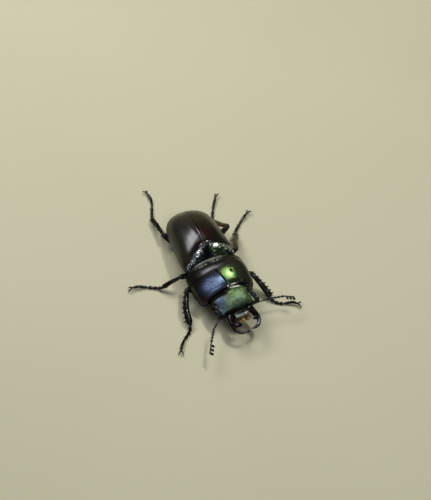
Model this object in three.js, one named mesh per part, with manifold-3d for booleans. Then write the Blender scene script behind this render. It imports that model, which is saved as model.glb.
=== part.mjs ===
// A male stag beetle standing still, at life size.
// Millimetres, +Z up. The head points towards -Y, so the beetle's left side is at +X.
// The waist, where the pronotum meets the wing cases, is at x = 0 until the last lines move the
// whole beetle to stand with the centre of its footprint at the origin.
import * as THREE from "three";
import { mergeVertices } from "three/addons/utils/BufferGeometryUtils.js";
import Module from "manifold-3d";

const wasm = await Module();
wasm.setup();

const fit = 0.05;              // clearance kept between two pieces that meet
const waist = [0, 0.28, 3.5];  // where fore and hind body meet, level with the shell's side edge
const elytra = { length: 12.45, halfWidth: 4.45, rise: 3.15, start: 0.02, notch: 0.55, notchHalf: 0.85,
  under: 0.28, tilt: -7, turn: -4.6 };
const pronotum = { length: 5.45, halfWidth: 4.87, rise: 2.5, start: 0.18, corner: 0.45, hollow: 0.36,
  hindCorner: 0.15, socket: 0.7, tilt: 9, turn: 1.5, lean: -4 };
const neck = [0, -5.15, 3.36];  // where the head comes out of the pronotum
const head = { length: 3.9, halfWidth: 3.8, rise: 1.35, drop: 1.15, tilt: 5, turn: 4.2, lean: -3.5 };
const eyeBall = { across: 3.3, forward: 2.7, height: 0.1, radii: [0.55, 0.68, 0.55] };
const upperLip = { start: 3.98, end: 4.92, half: 1.3, bulge: 0.14, top: 0.38, thick: 0.45 };
const body = { flat: -0.34, foreFlat: -0.26, lip: 0.12 };  // heights of the underside's flat top

// The middle line of each jaw, seen from above, as [sideways, forward] of the neck, with its half
// width at shares of its length, and the root and tip of its inner tooth.
const jaws = {
  left: {
    line: [[1.9, 4.02], [1.9, 5.0], [1.8, 6.0], [1.55, 6.8], [0.95, 7.28], [0.28, 7.38]],
    half: [[0, 0.5], [0.25, 0.54], [0.5, 0.48], [0.65, 0.34], [0.8, 0.25], [1, 0.1]],
    tooth: [[1.65, 5.95], [1.0, 6.2]],
  },
  right: {
    line: [[1.65, 4.02], [1.75, 4.8], [1.95, 5.7], [2.08, 6.4], [1.72, 7.2], [0.95, 7.62], [0.0, 7.76]],
    half: [[0, 0.5], [0.2, 0.56], [0.38, 0.42], [0.55, 0.4], [0.7, 0.3], [0.85, 0.22], [1, 0.1]],
    tooth: [[1.85, 5.9], [0.85, 6.28]],
  },
};
const jawHeight = { half: 0.42, lift: 0.12 };

// Where each leg bends: its root under the body, knee, ankle, and the toe joints along the
// tarsus; then the two claw tips. The shin bows outwards by bow.
const legs = {
  front_right: {
    root: [-1.35, -3.0, 1.05], knee: [-5.0, -1.85, 2.6], ankle: [-6.94, -7.05, 0.75], bow: 0.4, teeth: 6,
    toes: [[-7.1, -7.5, 0.3], [-7.98, -8.25, 0.25], [-8.92, -9.0, 0.28],
      [-9.7, -9.95, 0.5], [-10.14, -10.6, 0.38]],
    claws: [[-10.1, -11.2, 0.12], [-10.72, -11.0, 0.12]],
  },
  front_left: {
    root: [1.35, -3.0, 1.15], knee: [5.4, -2.95, 2.6], ankle: [6.85, -7.34, 0.75], bow: 0.12, teeth: 6,
    toes: [[7.02, -7.75, 0.3], [7.7, -8.5, 0.25], [8.55, -8.86, 0.28],
      [9.56, -9.28, 0.55], [10.33, -9.9, 0.38]],
    claws: [[11.07, -9.86, 0.12], [10.38, -10.73, 0.12]],
  },
  middle_right: {
    root: [-1.35, 2.1, 1.05], knee: [-5.2, 0.25, 3.25], ankle: [-7.72, 1.27, 0.75], bow: 0.1, teeth: 1,
    toes: [[-8.2, 1.75, 0.3], [-9.1, 2.3, 0.25], [-10.05, 2.82, 0.28],
      [-11.05, 3.15, 0.5], [-12.05, 3.26, 0.38]],
    claws: [[-12.55, 3.66, 0.12], [-12.79, 2.88, 0.12]],
  },
  middle_left: {
    root: [1.35, 2.15, 1.05], knee: [5.45, 2.17, 2.85], ankle: [7.71, 6.62, 0.75], bow: 0.1, teeth: 1,
    toes: [[8.22, 7.4, 0.3], [9.1, 8.2, 0.25], [10.0, 8.95, 0.28],
      [10.8, 9.52, 0.48], [11.55, 9.98, 0.38]],
    claws: [[12.1, 10.72, 0.12], [12.5, 10.1, 0.12]],
  },
  hind_right: {
    root: [-0.95, 5.75, 0.85], knee: [-3.6, 10.2, 1.95], ankle: [-3.44, 14.75, 0.75], bow: 0.1, teeth: 1,
    toes: [[-2.92, 15.8, 0.3], [-2.3, 17.2, 0.25], [-1.75, 18.5, 0.28],
      [-1.6, 19.5, 0.5], [-1.76, 20.5, 0.38]],
    claws: [[-2.25, 21.25, 0.12], [-1.6, 21.4, 0.12]],
  },
  hind_left: {
    root: [1.8, 5.75, 0.8], knee: [6.35, 6.95, 2.85], ankle: [5.5, 10.2, 0.75], bow: 0.1, teeth: 1,
    toes: [[5.85, 11.2, 0.3], [6.75, 12.85, 0.25], [7.45, 13.95, 0.28],
      [7.95, 14.6, 0.48], [8.43, 15.3, 0.38]],
    claws: [[8.8, 16.1, 0.12], [9.3, 15.8, 0.12]],
  },
};
const legHalf = { coxa: 0.42, femur: 0.46, knee: 0.3, joint: 0.2, shinTop: 0.27, shin: 0.34, shinEnd: 0.42,
  frontShin: 0.42, frontShinEnd: 0.48, toe: 0.25, toeSwell: 0.07, claw: 0.2, clawTip: 0.1 };
const shinTooth = { front: 0.28, other: 0.24 };
const toeStarts = [0, 0.15, 0.3, 0.45, 0.6];  // shares of the tarsus where its five joints begin

// Each feeler's elbowed line: socket, elbow, start of the club and the end of its stem.
const feelers = {
  right: {
    socket: [-2.75, -8.7, 2.75], elbow: [-4.65, -10.4, 2.75], club: [-6.11, -12.3, 2.7], tip: [-7.2, -14, 2.62],
  },
  left: {
    socket: [2.9, -8.55, 2.7], elbow: [5.46, -8.7, 2.85], club: [7.94, -9.15, 2.8], tip: [9.26, -9.82, 2.75],
  },
};
const feelerHalf = { stem: 0.25, bead: 0.28, leaf: 0.28, leafThick: 0.2, leafReach: 0.62, beads: 6 };

// Colours of the living shell.
const shellBlack = { color: 0x14120f, roughness: 0.3, metalness: 0.1 };
const shellBrown = { color: 0x241d16, roughness: 0.38, metalness: 0.1 };
const glossBlack = { color: 0x0c0a0c, roughness: 0.18, metalness: 0.1 };
const legBlack = { color: 0x100e0c, roughness: 0.28, metalness: 0.1 };
const eyeBlack = { color: 0x07070a, roughness: 0.1, metalness: 0.1 };
const lipGreen = { color: 0x4a5438, roughness: 0.4, metalness: 0.1 };
const mouthOrange = { color: 0xa86a2c, roughness: 0.6, metalness: 0.0 };
const feelerBrown = { color: 0x1e1a16, roughness: 0.45, metalness: 0.0 };

// A smooth curve through a few [place, value] knots, read at t.
function through(knots, t) {
  const last = knots.length - 1;
  if (t <= knots[0][0]) return knots[0][1];
  if (t >= knots[last][0]) return knots[last][1];
  const slope = (i) => {
    if (i <= 0 || i >= last) return 0;
    const before = (knots[i][1] - knots[i - 1][1]) / (knots[i][0] - knots[i - 1][0]);
    const after = (knots[i + 1][1] - knots[i][1]) / (knots[i + 1][0] - knots[i][0]);
    return before * after <= 0 ? 0 : (2 * before * after) / (before + after);
  };
  let i = 0;
  while (t > knots[i + 1][0]) i += 1;
  const width = knots[i + 1][0] - knots[i][0];
  const s = (t - knots[i][0]) / width;
  const s2 = s * s;
  const s3 = s2 * s;
  return (2 * s3 - 3 * s2 + 1) * knots[i][1] + (s3 - 2 * s2 + s) * width * slope(i)
    + (3 * s2 - 2 * s3) * knots[i + 1][1] + (s3 - s2) * width * slope(i + 1);
}

// Stations from 0 to 1, closer together near both ends.
function stations(count, crowding = 0.55) {
  return Array.from({ length: count }, (_, i) => {
    const even = i / (count - 1);
    return even * (1 - crowding) + (0.5 - 0.5 * Math.cos(Math.PI * even)) * crowding;
  });
}

// The point a share of the way from a to b.
function between(a, b, share) {
  return a.map((value, i) => value + (b[i] - value) * share);
}

// A closed skin over rings of points: each ring joins the next, and a fan closes each end.
function loft(rings) {
  const count = rings[0].length;
  const points = rings.flat();
  const faces = [];
  rings.slice(1).forEach((_, r) => {
    for (let k = 0; k < count; k += 1) {
      const a = r * count + k;
      const b = r * count + ((k + 1) % count);
      faces.push([a, b, b + count], [a, b + count, a + count]);
    }
  });
  [0, rings.length - 1].forEach((r) => {
    const centre = points.length;
    points.push(rings[r].reduce((sum, p) => sum.add(p), new THREE.Vector3()).divideScalar(count));
    for (let k = 0; k < count; k += 1) {
      const a = r * count + k;
      const b = r * count + ((k + 1) % count);
      faces.push(r === 0 ? [b, a, centre] : [a, b, centre]);
    }
  });
  const volume = faces.reduce((sum, [a, b, c]) => {
    return sum + points[a].dot(new THREE.Vector3().crossVectors(points[b], points[c]));
  }, 0);
  const outward = volume > 0 ? faces : faces.map(([a, b, c]) => [a, c, b]);
  const geometry = new THREE.BufferGeometry();
  const positions = points.flatMap((p) => [p.x, p.y, p.z]);
  geometry.setAttribute("position", new THREE.Float32BufferAttribute(positions, 3));
  geometry.setIndex(outward.flat());
  return geometry;
}

// A limb along a curve. Its section is an ellipse: wide(t) across, towards outward, and
// thick(t) up and down; tooth(t) is added on the outward side only.
function limb(shape, grow = 0) {
  const { points, outward, wide, thick, tooth = () => 0, count = 10, sides = 8, places = null } = shape;
  const curve = new THREE.CatmullRomCurve3(points.map((p) => new THREE.Vector3(...p)));
  const hint = new THREE.Vector3(...outward);
  const rings = (places ?? stations(count, 0.7)).map((t) => {
    const centre = curve.getPointAt(t);
    const along = curve.getTangentAt(t);
    const up = new THREE.Vector3().crossVectors(along, hint).normalize();
    const across = new THREE.Vector3().crossVectors(up, along).normalize();
    return Array.from({ length: sides }, (_, k) => {
      const angle = (2 * Math.PI * k) / sides;
      const reach = (wide(t) + grow) * Math.cos(angle) + (k === 0 ? tooth(t) : 0);
      const height = (thick(t) + grow) * Math.sin(angle);
      return centre.clone().addScaledVector(across, reach).addScaledVector(up, height);
    });
  });
  return loft(rings);
}

function solid(geometry) {
  const bare = geometry.clone();
  bare.deleteAttribute("normal");
  bare.deleteAttribute("uv");
  const merged = mergeVertices(bare, 1e-4);
  return new wasm.Manifold(new wasm.Mesh({
    numProp: 3,
    vertProperties: new Float32Array(merged.attributes.position.array),
    triVerts: new Uint32Array(merged.index.array),
  }));
}

function surface(shape) {
  const mesh = shape.getMesh();
  const geometry = new THREE.BufferGeometry();
  geometry.setAttribute("position", new THREE.Float32BufferAttribute(mesh.vertProperties, 3));
  geometry.setIndex(Array.from(mesh.triVerts));
  return geometry;
}

// Joins some pieces, takes others away, and cuts the result level with the floor.
function shaped(joined, taken = []) {
  let shape = solid(joined[0]);
  joined.slice(1).forEach((piece) => { shape = shape.add(solid(piece)); });
  taken.forEach((piece) => { shape = shape.subtract(solid(piece)); });
  return surface(shape.trimByPlane([0, 0, 1], 0));
}

function part(name, geometry, look, group) {
  geometry.computeVertexNormals();
  const mesh = new THREE.Mesh(geometry, new THREE.MeshStandardMaterial(look));
  mesh.name = name;
  group.add(mesh);
}

// The geometry of a piece made earlier, as it stands on the beetle.
function inPlace(name) {
  const mesh = beetle.getObjectByName(name);
  mesh.updateWorldMatrix(true, false);
  return mesh.geometry.clone().applyMatrix4(mesh.matrixWorld);
}

function placed({ tilt = 0, turn = 0, lean = 0 }, position) {
  const group = new THREE.Group();
  const [a, b, c] = [tilt, lean, turn].map(THREE.MathUtils.degToRad);
  group.rotation.set(a, b, c, "ZXY");
  group.position.set(...position);
  return group;
}

// One wing case: half a vault, from the seam in the middle to the side edge, rolled under there.
// Its front inner corner is cut back for the scutellum, and its base stays square to the waist
// although the hind body is turned.
function elytron(side) {
  const across = 10;
  const seam = fit / 2;
  const squareness = Math.tan(THREE.MathUtils.degToRad(-elytra.turn));
  const rings = stations(16, 0.8).map((t) => {
    const width = elytra.halfWidth * through([[0, 0.94], [0.06, 0.98], [0.14, 1], [0.31, 0.97],
      [0.48, 0.945], [0.6, 0.92], [0.72, 0.88], [0.8, 0.83], [0.88, 0.73], [0.95, 0.51], [1, 0.14]], t);
    const rise = elytra.rise * through([[0, 0.42], [0.04, 0.64], [0.1, 0.84], [0.2, 0.96], [0.35, 1],
      [0.5, 0.98], [0.65, 0.92], [0.8, 0.78], [0.9, 0.56], [0.96, 0.36], [1, 0.12]], t);
    const outline = [];
    for (let k = 0; k < across; k += 1) {
      const angle = (Math.PI / 2) * (1 - k / (across - 1));
      outline.push([seam + (width - seam) * Math.cos(angle) ** 0.85, rise * Math.sin(angle) ** 0.9]);
    }
    outline.push([width * 0.95, -elytra.under * Math.min(1, rise)], [width * 0.55, -0.1], [seam, -0.1]);
    return outline.map(([x, z]) => {
      const notch = elytra.notch * Math.max(0, 1 - x / elytra.notchHalf) * (1 - t) ** 8;
      const square = side * x * squareness * (1 - t) ** 6;
      return new THREE.Vector3(side * x, elytra.start + elytra.length * t + notch + square, z);
    });
  });
  return loft(rings);
}

// The small shield between the bases of the wing cases, narrowing to the back.
function scutellum() {
  const sections = [[0.1, 0.5, 1.35], [0.22, 0.38, 1.58], [0.34, 0.2, 1.8], [0.44, 0.05, 1.92]];
  return loft(sections.map(([y, half, top]) => {
    const shoulder = top - 0.12;
    const foot = top - 0.6;
    const right = [[half, foot], [half, shoulder], [half / 2, top]];
    const left = right.map(([x, z]) => [-x, z]).reverse();
    return [...right, ...left].map(([x, z]) => new THREE.Vector3(x, y, z));
  }));
}

// The prothorax shield: hind edge nearly straight, front edge hollowed between forward corners,
// with a socket in front that takes the back of the head.
function pronotumShield() {
  const across = 15;
  const rings = stations(12, 0.6).map((t) => {
    const width = pronotum.halfWidth * through([[0, 0.9], [0.07, 0.955], [0.25, 0.98], [0.45, 1],
      [0.67, 0.99], [0.85, 0.955], [0.95, 0.91], [1, 0.85]], t);
    const rise = pronotum.rise * through([[0, 0.74], [0.08, 0.88], [0.25, 0.98], [0.45, 1], [0.7, 0.96],
      [0.9, 0.87], [1, 0.76]], t);
    const outline = [];
    for (let k = 0; k < across; k += 1) {
      const angle = Math.PI * (1 - k / (across - 1));
      const c = Math.cos(angle);
      outline.push([width * Math.sign(c) * Math.abs(c) ** 0.8, rise * Math.sin(angle) ** 0.95]);
    }
    outline.push([width * 0.93, -0.2], [width * 0.5, -0.1], [-width * 0.5, -0.1], [-width * 0.93, -0.2]);
    return outline.map(([x, z]) => {
      const edge = Math.abs(x) / width;
      const front = (pronotum.hollow * (1 - edge ** 2) - pronotum.corner * edge ** 4) * t ** 3;
      const hind = -pronotum.hindCorner * edge ** 3 * (1 - t) ** 4;
      return new THREE.Vector3(x, front + hind - pronotum.start - pronotum.length * t, z);
    });
  });
  const socketHeight = 0.85;
  const socketRing = (share, back) => rings[rings.length - 1].map((p) => {
    return new THREE.Vector3(p.x * share, p.y + back, socketHeight + (p.z - socketHeight) * share);
  });
  return loft([...rings, socketRing(0.92, 0.02), socketRing(0.9, pronotum.socket)]);
}

// The head: broad behind, notched at each side for the eye, with a straight front edge.
function headShell() {
  const around = 20;
  const rings = stations(14, 0.45).map((t) => {
    const width = head.halfWidth * through([[0, 0.76], [0.16, 0.8], [0.31, 0.94], [0.43, 0.89], [0.52, 0.83],
      [0.76, 0.82], [0.86, 0.9], [0.93, 0.94], [0.97, 0.91], [1, 0.82]], t);
    const rise = head.rise * through([[0, 0.42], [0.1, 0.56], [0.22, 0.88], [0.35, 1], [0.6, 0.97],
      [0.82, 0.78], [0.94, 0.52], [1, 0.3]], t);
    const drop = head.drop * through([[0, 0.15], [0.12, 0.2], [0.26, 0.85], [0.5, 1], [0.8, 0.8],
      [1, 0.45]], t);
    return Array.from({ length: around }, (_, k) => {
      const angle = (2 * Math.PI * k) / around;
      const c = Math.cos(angle);
      const s = Math.sin(angle);
      const x = width * Math.sign(c) * Math.abs(c) ** 0.75;
      const z = (s > 0 ? rise : drop) * Math.sign(s) * Math.abs(s) ** 0.9;
      return new THREE.Vector3(x, -head.length * t, z);
    });
  });
  return loft(rings);
}

function eye(side) {
  const ball = new THREE.SphereGeometry(1, 10, 7);
  ball.scale(...eyeBall.radii);
  ball.translate(side * eyeBall.across, -eyeBall.forward, eyeBall.height);
  return surface(solid(ball).subtract(solid(headShell())));
}

// The upper lip, a plate with a bulging front edge over the roots of the jaws.
function lip(grow = 0) {
  const half = upperLip.half + grow;
  const shape = new THREE.Shape();
  shape.moveTo(-half, -upperLip.start + grow);
  shape.lineTo(-half, -upperLip.end - grow);
  shape.quadraticCurveTo(0, -upperLip.end - grow - 2 * upperLip.bulge, half, -upperLip.end - grow);
  shape.lineTo(half, -upperLip.start + grow);
  const depth = upperLip.thick + 2 * grow;
  const plate = new THREE.ExtrudeGeometry(shape, { depth, bevelEnabled: false, curveSegments: 8 });
  plate.translate(0, 0, upperLip.top - upperLip.thick - grow);
  return plate;
}

// A jaw with its inner tooth, cut to pass under the lip.
function jaw(side, { line, half, tooth }) {
  const at = ([x, forward], lift) => [side * x, -forward, lift];
  const depth = [[0, 0.75], [0.1, 1], [0.5, 0.9], [0.7, 0.66], [0.88, 0.5], [1, 0.26]];
  const blade = limb({
    points: line.map((p, i) => at(p, (jawHeight.lift * i) / (line.length - 1))), outward: [side, 0, 0.001],
    wide: (t) => through(half, t), thick: (t) => jawHeight.half * through(depth, t), count: 14, sides: 8,
  });
  const inner = limb({
    points: [at(tooth[0], jawHeight.lift / 2), at(tooth[1], jawHeight.lift)], outward: [0, 1, 0],
    wide: (t) => 0.42 - 0.22 * t, thick: (t) => 0.3 - 0.12 * t, count: 6, sides: 8,
  });
  return surface(solid(blade).add(solid(inner)).subtract(solid(lip(fit))));
}

// The mesothorax's collar, a thin wedge that closes the groove between fore and hind body.
function collar() {
  const arch = Array.from({ length: 13 }, (_, k) => {
    const angle = (Math.PI * k) / 12;
    return [3.6 * Math.cos(angle), 1.75 * Math.sin(angle)];
  });
  const ring = (foot, slope) => [...arch, [-3.4, -0.2], [3.4, -0.2]].map(([x, z]) => {
    return new THREE.Vector3(x, foot + slope * z, z);
  });
  return loft([ring(-0.11, -0.15), ring(-0.03, 0.09)]);
}

// A feeler of the mouth, under the lip.
function palp(side, sideways) {
  const line = [[1, 0.6, -0.7], [1.1, 1.1, -0.66], [1, 1.7, -0.7]];
  return limb({
    points: line.map(([x, forward, z]) => [side * sideways * x, -head.length - forward, z]), outward: [0, 0, 1],
    wide: (t) => 0.24 - 0.06 * t, thick: (t) => 0.24 - 0.06 * t, count: 4, sides: 5,
  });
}

function mouthBrush() {
  const tuft = new THREE.SphereGeometry(1, 10, 6);
  tuft.scale(0.2, 0.6, 0.25);
  tuft.translate(0, -head.length - 1.15, -0.75);
  return tuft;
}

// A piece of the underside: flat above, rounded below, as wide and deep as its knots say.
function underside({ y0, y1, half, depth, top, count }) {
  const rings = stations(count, 0.6).map((t) => {
    const width = through(half, t);
    const down = through(depth, t) - body.lip;
    const outline = [0.9, 0.4, -0.4, -0.9].map((share) => [width * share, top]);
    for (let k = 0; k <= 8; k += 1) {
      const angle = Math.PI + (Math.PI * k) / 8;
      outline.push([width * Math.cos(angle), top - body.lip + down * Math.sin(angle)]);
    }
    return outline.map(([x, z]) => new THREE.Vector3(x, y0 + (y1 - y0) * t, z));
  });
  return loft(rings);
}

// An elbowed feeler: a scape, a row of beads, and a club with three leaves on its inner side.
function feeler(side, { socket, elbow, club, tip }) {
  const name = `antenna_${side > 0 ? "left" : "right"}`;
  const scape = {
    points: [socket, between(socket, elbow, 0.5), elbow], outward: [0, 0, 1],
    wide: () => feelerHalf.stem, thick: () => feelerHalf.stem, count: 6, sides: 6,
  };
  const steps = feelerHalf.beads * 2;
  const bead = (t) => {
    const swell = Math.sin(Math.PI * ((t * feelerHalf.beads) % 1));
    return feelerHalf.stem + (feelerHalf.bead - feelerHalf.stem) * swell;
  };
  const funicle = {
    points: [elbow, between(elbow, club, 0.5), club], outward: [0, 0, 1], wide: bead, thick: bead,
    places: Array.from({ length: steps + 1 }, (_, i) => i / steps), sides: 6,
  };
  const stem = { ...scape, points: [club, tip], count: 4 };
  const along = new THREE.Vector3(...tip).sub(new THREE.Vector3(...club)).normalize();
  const inward = new THREE.Vector3(side * along.y, -side * along.x, 0).addScaledVector(along, 0.2);
  const leaves = [0.28, 0.62, 0.96].map((share) => {
    const root = new THREE.Vector3(...between(club, tip, share));
    const end = root.clone().addScaledVector(inward, feelerHalf.leafReach);
    return limb({ points: [root.toArray(), end.toArray()], outward: [0, 0, 1], count: 3, sides: 6,
      wide: (t) => feelerHalf.leaf - 0.06 * t, thick: (t) => feelerHalf.leafThick - 0.04 * t });
  });
  part(`${name}_scape`, shaped([limb(scape)], [inPlace("head")]), feelerBrown, beetle);
  part(`${name}_funicle`, shaped([limb(funicle)], [limb(scape, fit)]), feelerBrown, beetle);
  part(`${name}_club`, shaped([limb(stem), ...leaves], [limb(funicle, fit)]), feelerBrown, beetle);
}

// Where the rings of a toothed shin stand, and how far its outer edge juts out at each: the
// teeth lean towards the foot.
function toothed(count, height) {
  const reach = count > 1 ? { start: 0.2, length: 0.74 / count } : { start: 0.5, length: 0.14 };
  const steps = [];
  for (let i = 0; i < count; i += 1) {
    const start = reach.start + i * reach.length;
    const size = height * (0.65 + 0.35 * (i / count));
    [[0.15, 0], [0.8, size], [0.97, 0]].forEach(([share, out]) => {
      steps.push([start + reach.length * share, out]);
    });
  }
  const places = [0, 0.03, 0.1, 0.9, 0.97, 1, ...steps.map(([t]) => t)];
  return {
    places: [...new Set(places)].sort((a, b) => a - b),
    tooth: (t) => steps.reduce((found, [place, value]) => (Math.abs(place - t) < 1e-6 ? value : found), 0),
  };
}

function leg(name, { root, knee, ankle, bow, toes, claws, teeth }) {
  const side = Math.sign(knee[0]);
  const front = teeth > 1;
  const sag = between(root, knee, 0.5);
  const [x, y, z] = root;
  const coxa = {
    points: [[x - side * 0.85, y, z + 0.22], [x - side * 0.02, y, z + 0.18]],
    outward: [0, 1, 0], count: 4, sides: 6,
    wide: (t) => legHalf.coxa * (0.6 + 0.5 * Math.sin(Math.PI * t)),
    thick: (t) => legHalf.coxa * (0.75 + 0.45 * Math.sin(Math.PI * t)),
  };
  const kneeEnd = [[0.95, legHalf.knee], [1, legHalf.joint]];
  const femur = {
    points: [root, [sag[0], sag[1], sag[2] - 0.4], knee], outward: [0, 1, 0], count: 7, sides: 8,
    wide: (t) => through([[0, 0.26], [0.15, 0.36], [0.5, legHalf.femur], [0.85, 0.4], ...kneeEnd], t),
    thick: (t) => through([[0, 0.26], [0.15, 0.32], [0.5, 0.38], [0.85, 0.35], ...kneeEnd], t),
  };
  const shin = new THREE.Vector3(...ankle).sub(new THREE.Vector3(...knee));
  const outward = new THREE.Vector3(-side * shin.y, side * shin.x, 0).normalize();
  const bend = new THREE.Vector3(...between(knee, ankle, 0.45)).addScaledVector(outward, bow);
  const [broad, end] = front ? [legHalf.frontShin, legHalf.frontShinEnd] : [legHalf.shin, legHalf.shinEnd];
  const shinStart = [[0, legHalf.joint], [0.05, legHalf.shinTop]];
  const tibia = {
    points: [knee, bend.toArray(), ankle], outward: outward.toArray(), sides: 8,
    ...toothed(teeth, front ? shinTooth.front : shinTooth.other),
    wide: (t) => through([...shinStart, [0.5, broad], [0.93, end], [1, 0.25]], t),
    thick: (t) => through([...shinStart, [0.6, 0.28], [0.93, 0.32], [1, 0.22]], t),
  };
  const lastToe = toeStarts[toeStarts.length - 1];
  const swell = (t) => {
    const start = toeStarts.filter((value) => value <= t + 1e-6).pop();
    const length = start === lastToe ? 1 - lastToe : toeStarts[1];
    return legHalf.toe + legHalf.toeSwell * Math.sin((Math.PI / 2) * Math.min(1, (t - start) / length));
  };
  const tarsus = {
    points: [ankle, ...toes], outward: [0, 0, 1], wide: swell, thick: swell, sides: 6,
    places: [...toeStarts, ...toeStarts.slice(1).map((start) => start - 0.02), 0.8, 1].sort((a, b) => a - b),
  };
  const foot = toes[toes.length - 1];
  const clawHalf = (t) => legHalf.claw + (legHalf.clawTip - legHalf.claw) * t;
  const claw = (tip) => {
    const [clawX, clawY] = between(foot, tip, 0.5);
    const points = [foot, [clawX, clawY, foot[2] + 0.06], tip];
    return limb({ points, outward: [0, 0, 1], wide: clawHalf, thick: clawHalf, count: 4, sides: 5 });
  };
  const trunk = ["prosternum", "metasternum", "abdomen"].map(inPlace);
  part(`${name}_coxa`, shaped([limb(coxa)], [limb(femur, fit), ...trunk]), legBlack, beetle);
  part(`${name}_femur`, shaped([limb(femur)]), legBlack, beetle);
  part(`${name}_tibia`, shaped([limb(tibia)], [limb(femur, fit)]), legBlack, beetle);
  part(`${name}_tarsus`, shaped([limb(tarsus)], [limb(tibia, fit)]), legBlack, beetle);
  part(`${name}_claws`, shaped(claws.map(claw), [limb(tarsus, fit)]), glossBlack, beetle);
}

const beetle = new THREE.Group();

const hindBody = placed(elytra, waist);
part("elytron_left", elytron(1), shellBrown, hindBody);
part("elytron_right", elytron(-1), shellBrown, hindBody);
part("scutellum", scutellum(), shellBlack, hindBody);
part("metasternum", underside({
  y0: 0.3, y1: 5.2, top: body.flat, count: 7,
  half: [[0, 3.1], [0.15, 3.6], [1, 3.9]], depth: [[0, 1.0], [0.2, 1.25], [1, 1.3]],
}), shellBlack, hindBody);
part("abdomen", underside({
  y0: 5.25, y1: 11.9, top: body.flat, count: 10,
  half: [[0, 3.9], [0.35, 3.7], [0.7, 2.95], [0.9, 1.8], [1, 0.7]],
  depth: [[0, 1.2], [0.4, 1.15], [0.8, 0.8], [1, 0.4]],
}), shellBlack, hindBody);
beetle.add(hindBody);

const foreBody = placed(pronotum, waist);
part("pronotum", pronotumShield(), shellBlack, foreBody);
part("prosternum", underside({
  y0: -0.7, y1: -5.2, top: body.foreFlat, count: 7,
  half: [[0, 3.2], [0.2, 3.7], [0.8, 3.5], [1, 2.9]], depth: [[0, 0.9], [0.25, 1.2], [0.8, 1.15], [1, 0.8]],
}), shellBlack, foreBody);
beetle.add(foreBody);

const join = placed({}, waist);
part("waist", collar(), shellBlack, join);
beetle.add(join);

const face = placed(head, neck);
part("head", headShell(), shellBlack, face);
part("eye_left", eye(1), eyeBlack, face);
part("eye_right", eye(-1), eyeBlack, face);
part("mandible_left", jaw(1, jaws.left), glossBlack, face);
part("mandible_right", jaw(-1, jaws.right), glossBlack, face);
part("labrum", lip(), lipGreen, face);
part("palp_left", palp(1, 0.5), legBlack, face);
part("palp_right", palp(-1, 0.75), legBlack, face);
part("mouth_brush", mouthBrush(), mouthOrange, face);
beetle.add(face);

feeler(1, feelers.left);
feeler(-1, feelers.right);
Object.entries(legs).forEach(([name, joints]) => leg(`leg_${name}`, joints));

// Stand the beetle on the floor with the centre of its footprint at the origin.
beetle.updateMatrixWorld(true);
const footprint = new THREE.Box3().setFromObject(beetle, true);
const centre = footprint.getCenter(new THREE.Vector3());
beetle.position.set(-centre.x, -centre.y, -footprint.min.z);
const standing = new THREE.Group();
standing.add(beetle);
standing.updateMatrixWorld(true);

export default standing;
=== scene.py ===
# A small male stag beetle at life size, dressed over its CAD model. Metres, +Z up, head towards -Y.
import math
import random

import bmesh
import bpy
from mathutils import Matrix, Vector, noise
from mathutils.kdtree import KDTree


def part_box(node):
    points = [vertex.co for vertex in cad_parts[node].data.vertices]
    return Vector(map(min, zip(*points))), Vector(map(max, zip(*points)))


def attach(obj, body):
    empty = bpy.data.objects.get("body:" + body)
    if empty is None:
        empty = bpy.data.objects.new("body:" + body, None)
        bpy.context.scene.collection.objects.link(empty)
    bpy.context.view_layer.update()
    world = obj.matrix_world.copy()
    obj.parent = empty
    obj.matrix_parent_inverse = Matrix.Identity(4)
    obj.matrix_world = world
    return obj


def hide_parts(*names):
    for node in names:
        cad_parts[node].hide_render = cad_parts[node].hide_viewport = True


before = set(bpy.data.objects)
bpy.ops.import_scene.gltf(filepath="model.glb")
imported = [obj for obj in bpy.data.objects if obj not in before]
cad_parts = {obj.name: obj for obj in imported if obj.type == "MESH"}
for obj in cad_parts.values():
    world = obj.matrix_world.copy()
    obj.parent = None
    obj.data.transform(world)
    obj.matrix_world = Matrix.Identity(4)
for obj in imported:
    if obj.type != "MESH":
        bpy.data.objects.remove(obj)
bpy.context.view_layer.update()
mm = 0.001
dice = random.Random(11)
noise.seed_set(11)  # without it noise_vector follows the clock, and the legs differ from run to run
up = Vector((0, 0, 1))
lowest = {"piece": 0.01, "hairRoot": 0.06, "hairTip": 0.03}  # heights over the floor in mm


# Reading the frame: places on the beetle come from the CAD nodes.
def middle(node):
    low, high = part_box(node)
    return (low + high) / 2


def merged(node):
    bm = bmesh.new()
    bm.from_mesh(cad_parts[node].data)
    bmesh.ops.remove_doubles(bm, verts=bm.verts, dist=0.002 * mm)
    return bm


# The middle line of a long CAD node, read at shares of its length, from the end nearer to a place.
def middleLine(node, near, shares):
    bm = merged(node)
    spots = [v.co.copy() for v in bm.verts]
    pairs = ((a, b) for a in spots for b in spots)
    a, b = max(pairs, key=lambda pair: (pair[0] - pair[1]).length)
    if (b - near).length < (a - near).length:
        a, b = b, a
    line = []
    for share in shares:
        cut = bm.copy()
        found = bmesh.ops.bisect_plane(cut, geom=cut.verts[:] + cut.edges[:] + cut.faces[:],
                                       plane_co=a.lerp(b, share), plane_no=b - a)["geom_cut"]
        points = [g.co for g in found if isinstance(g, bmesh.types.BMVert)]
        line.append(sum(points, Vector()) / len(points))
        cut.free()
    bm.free()
    return line


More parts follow.
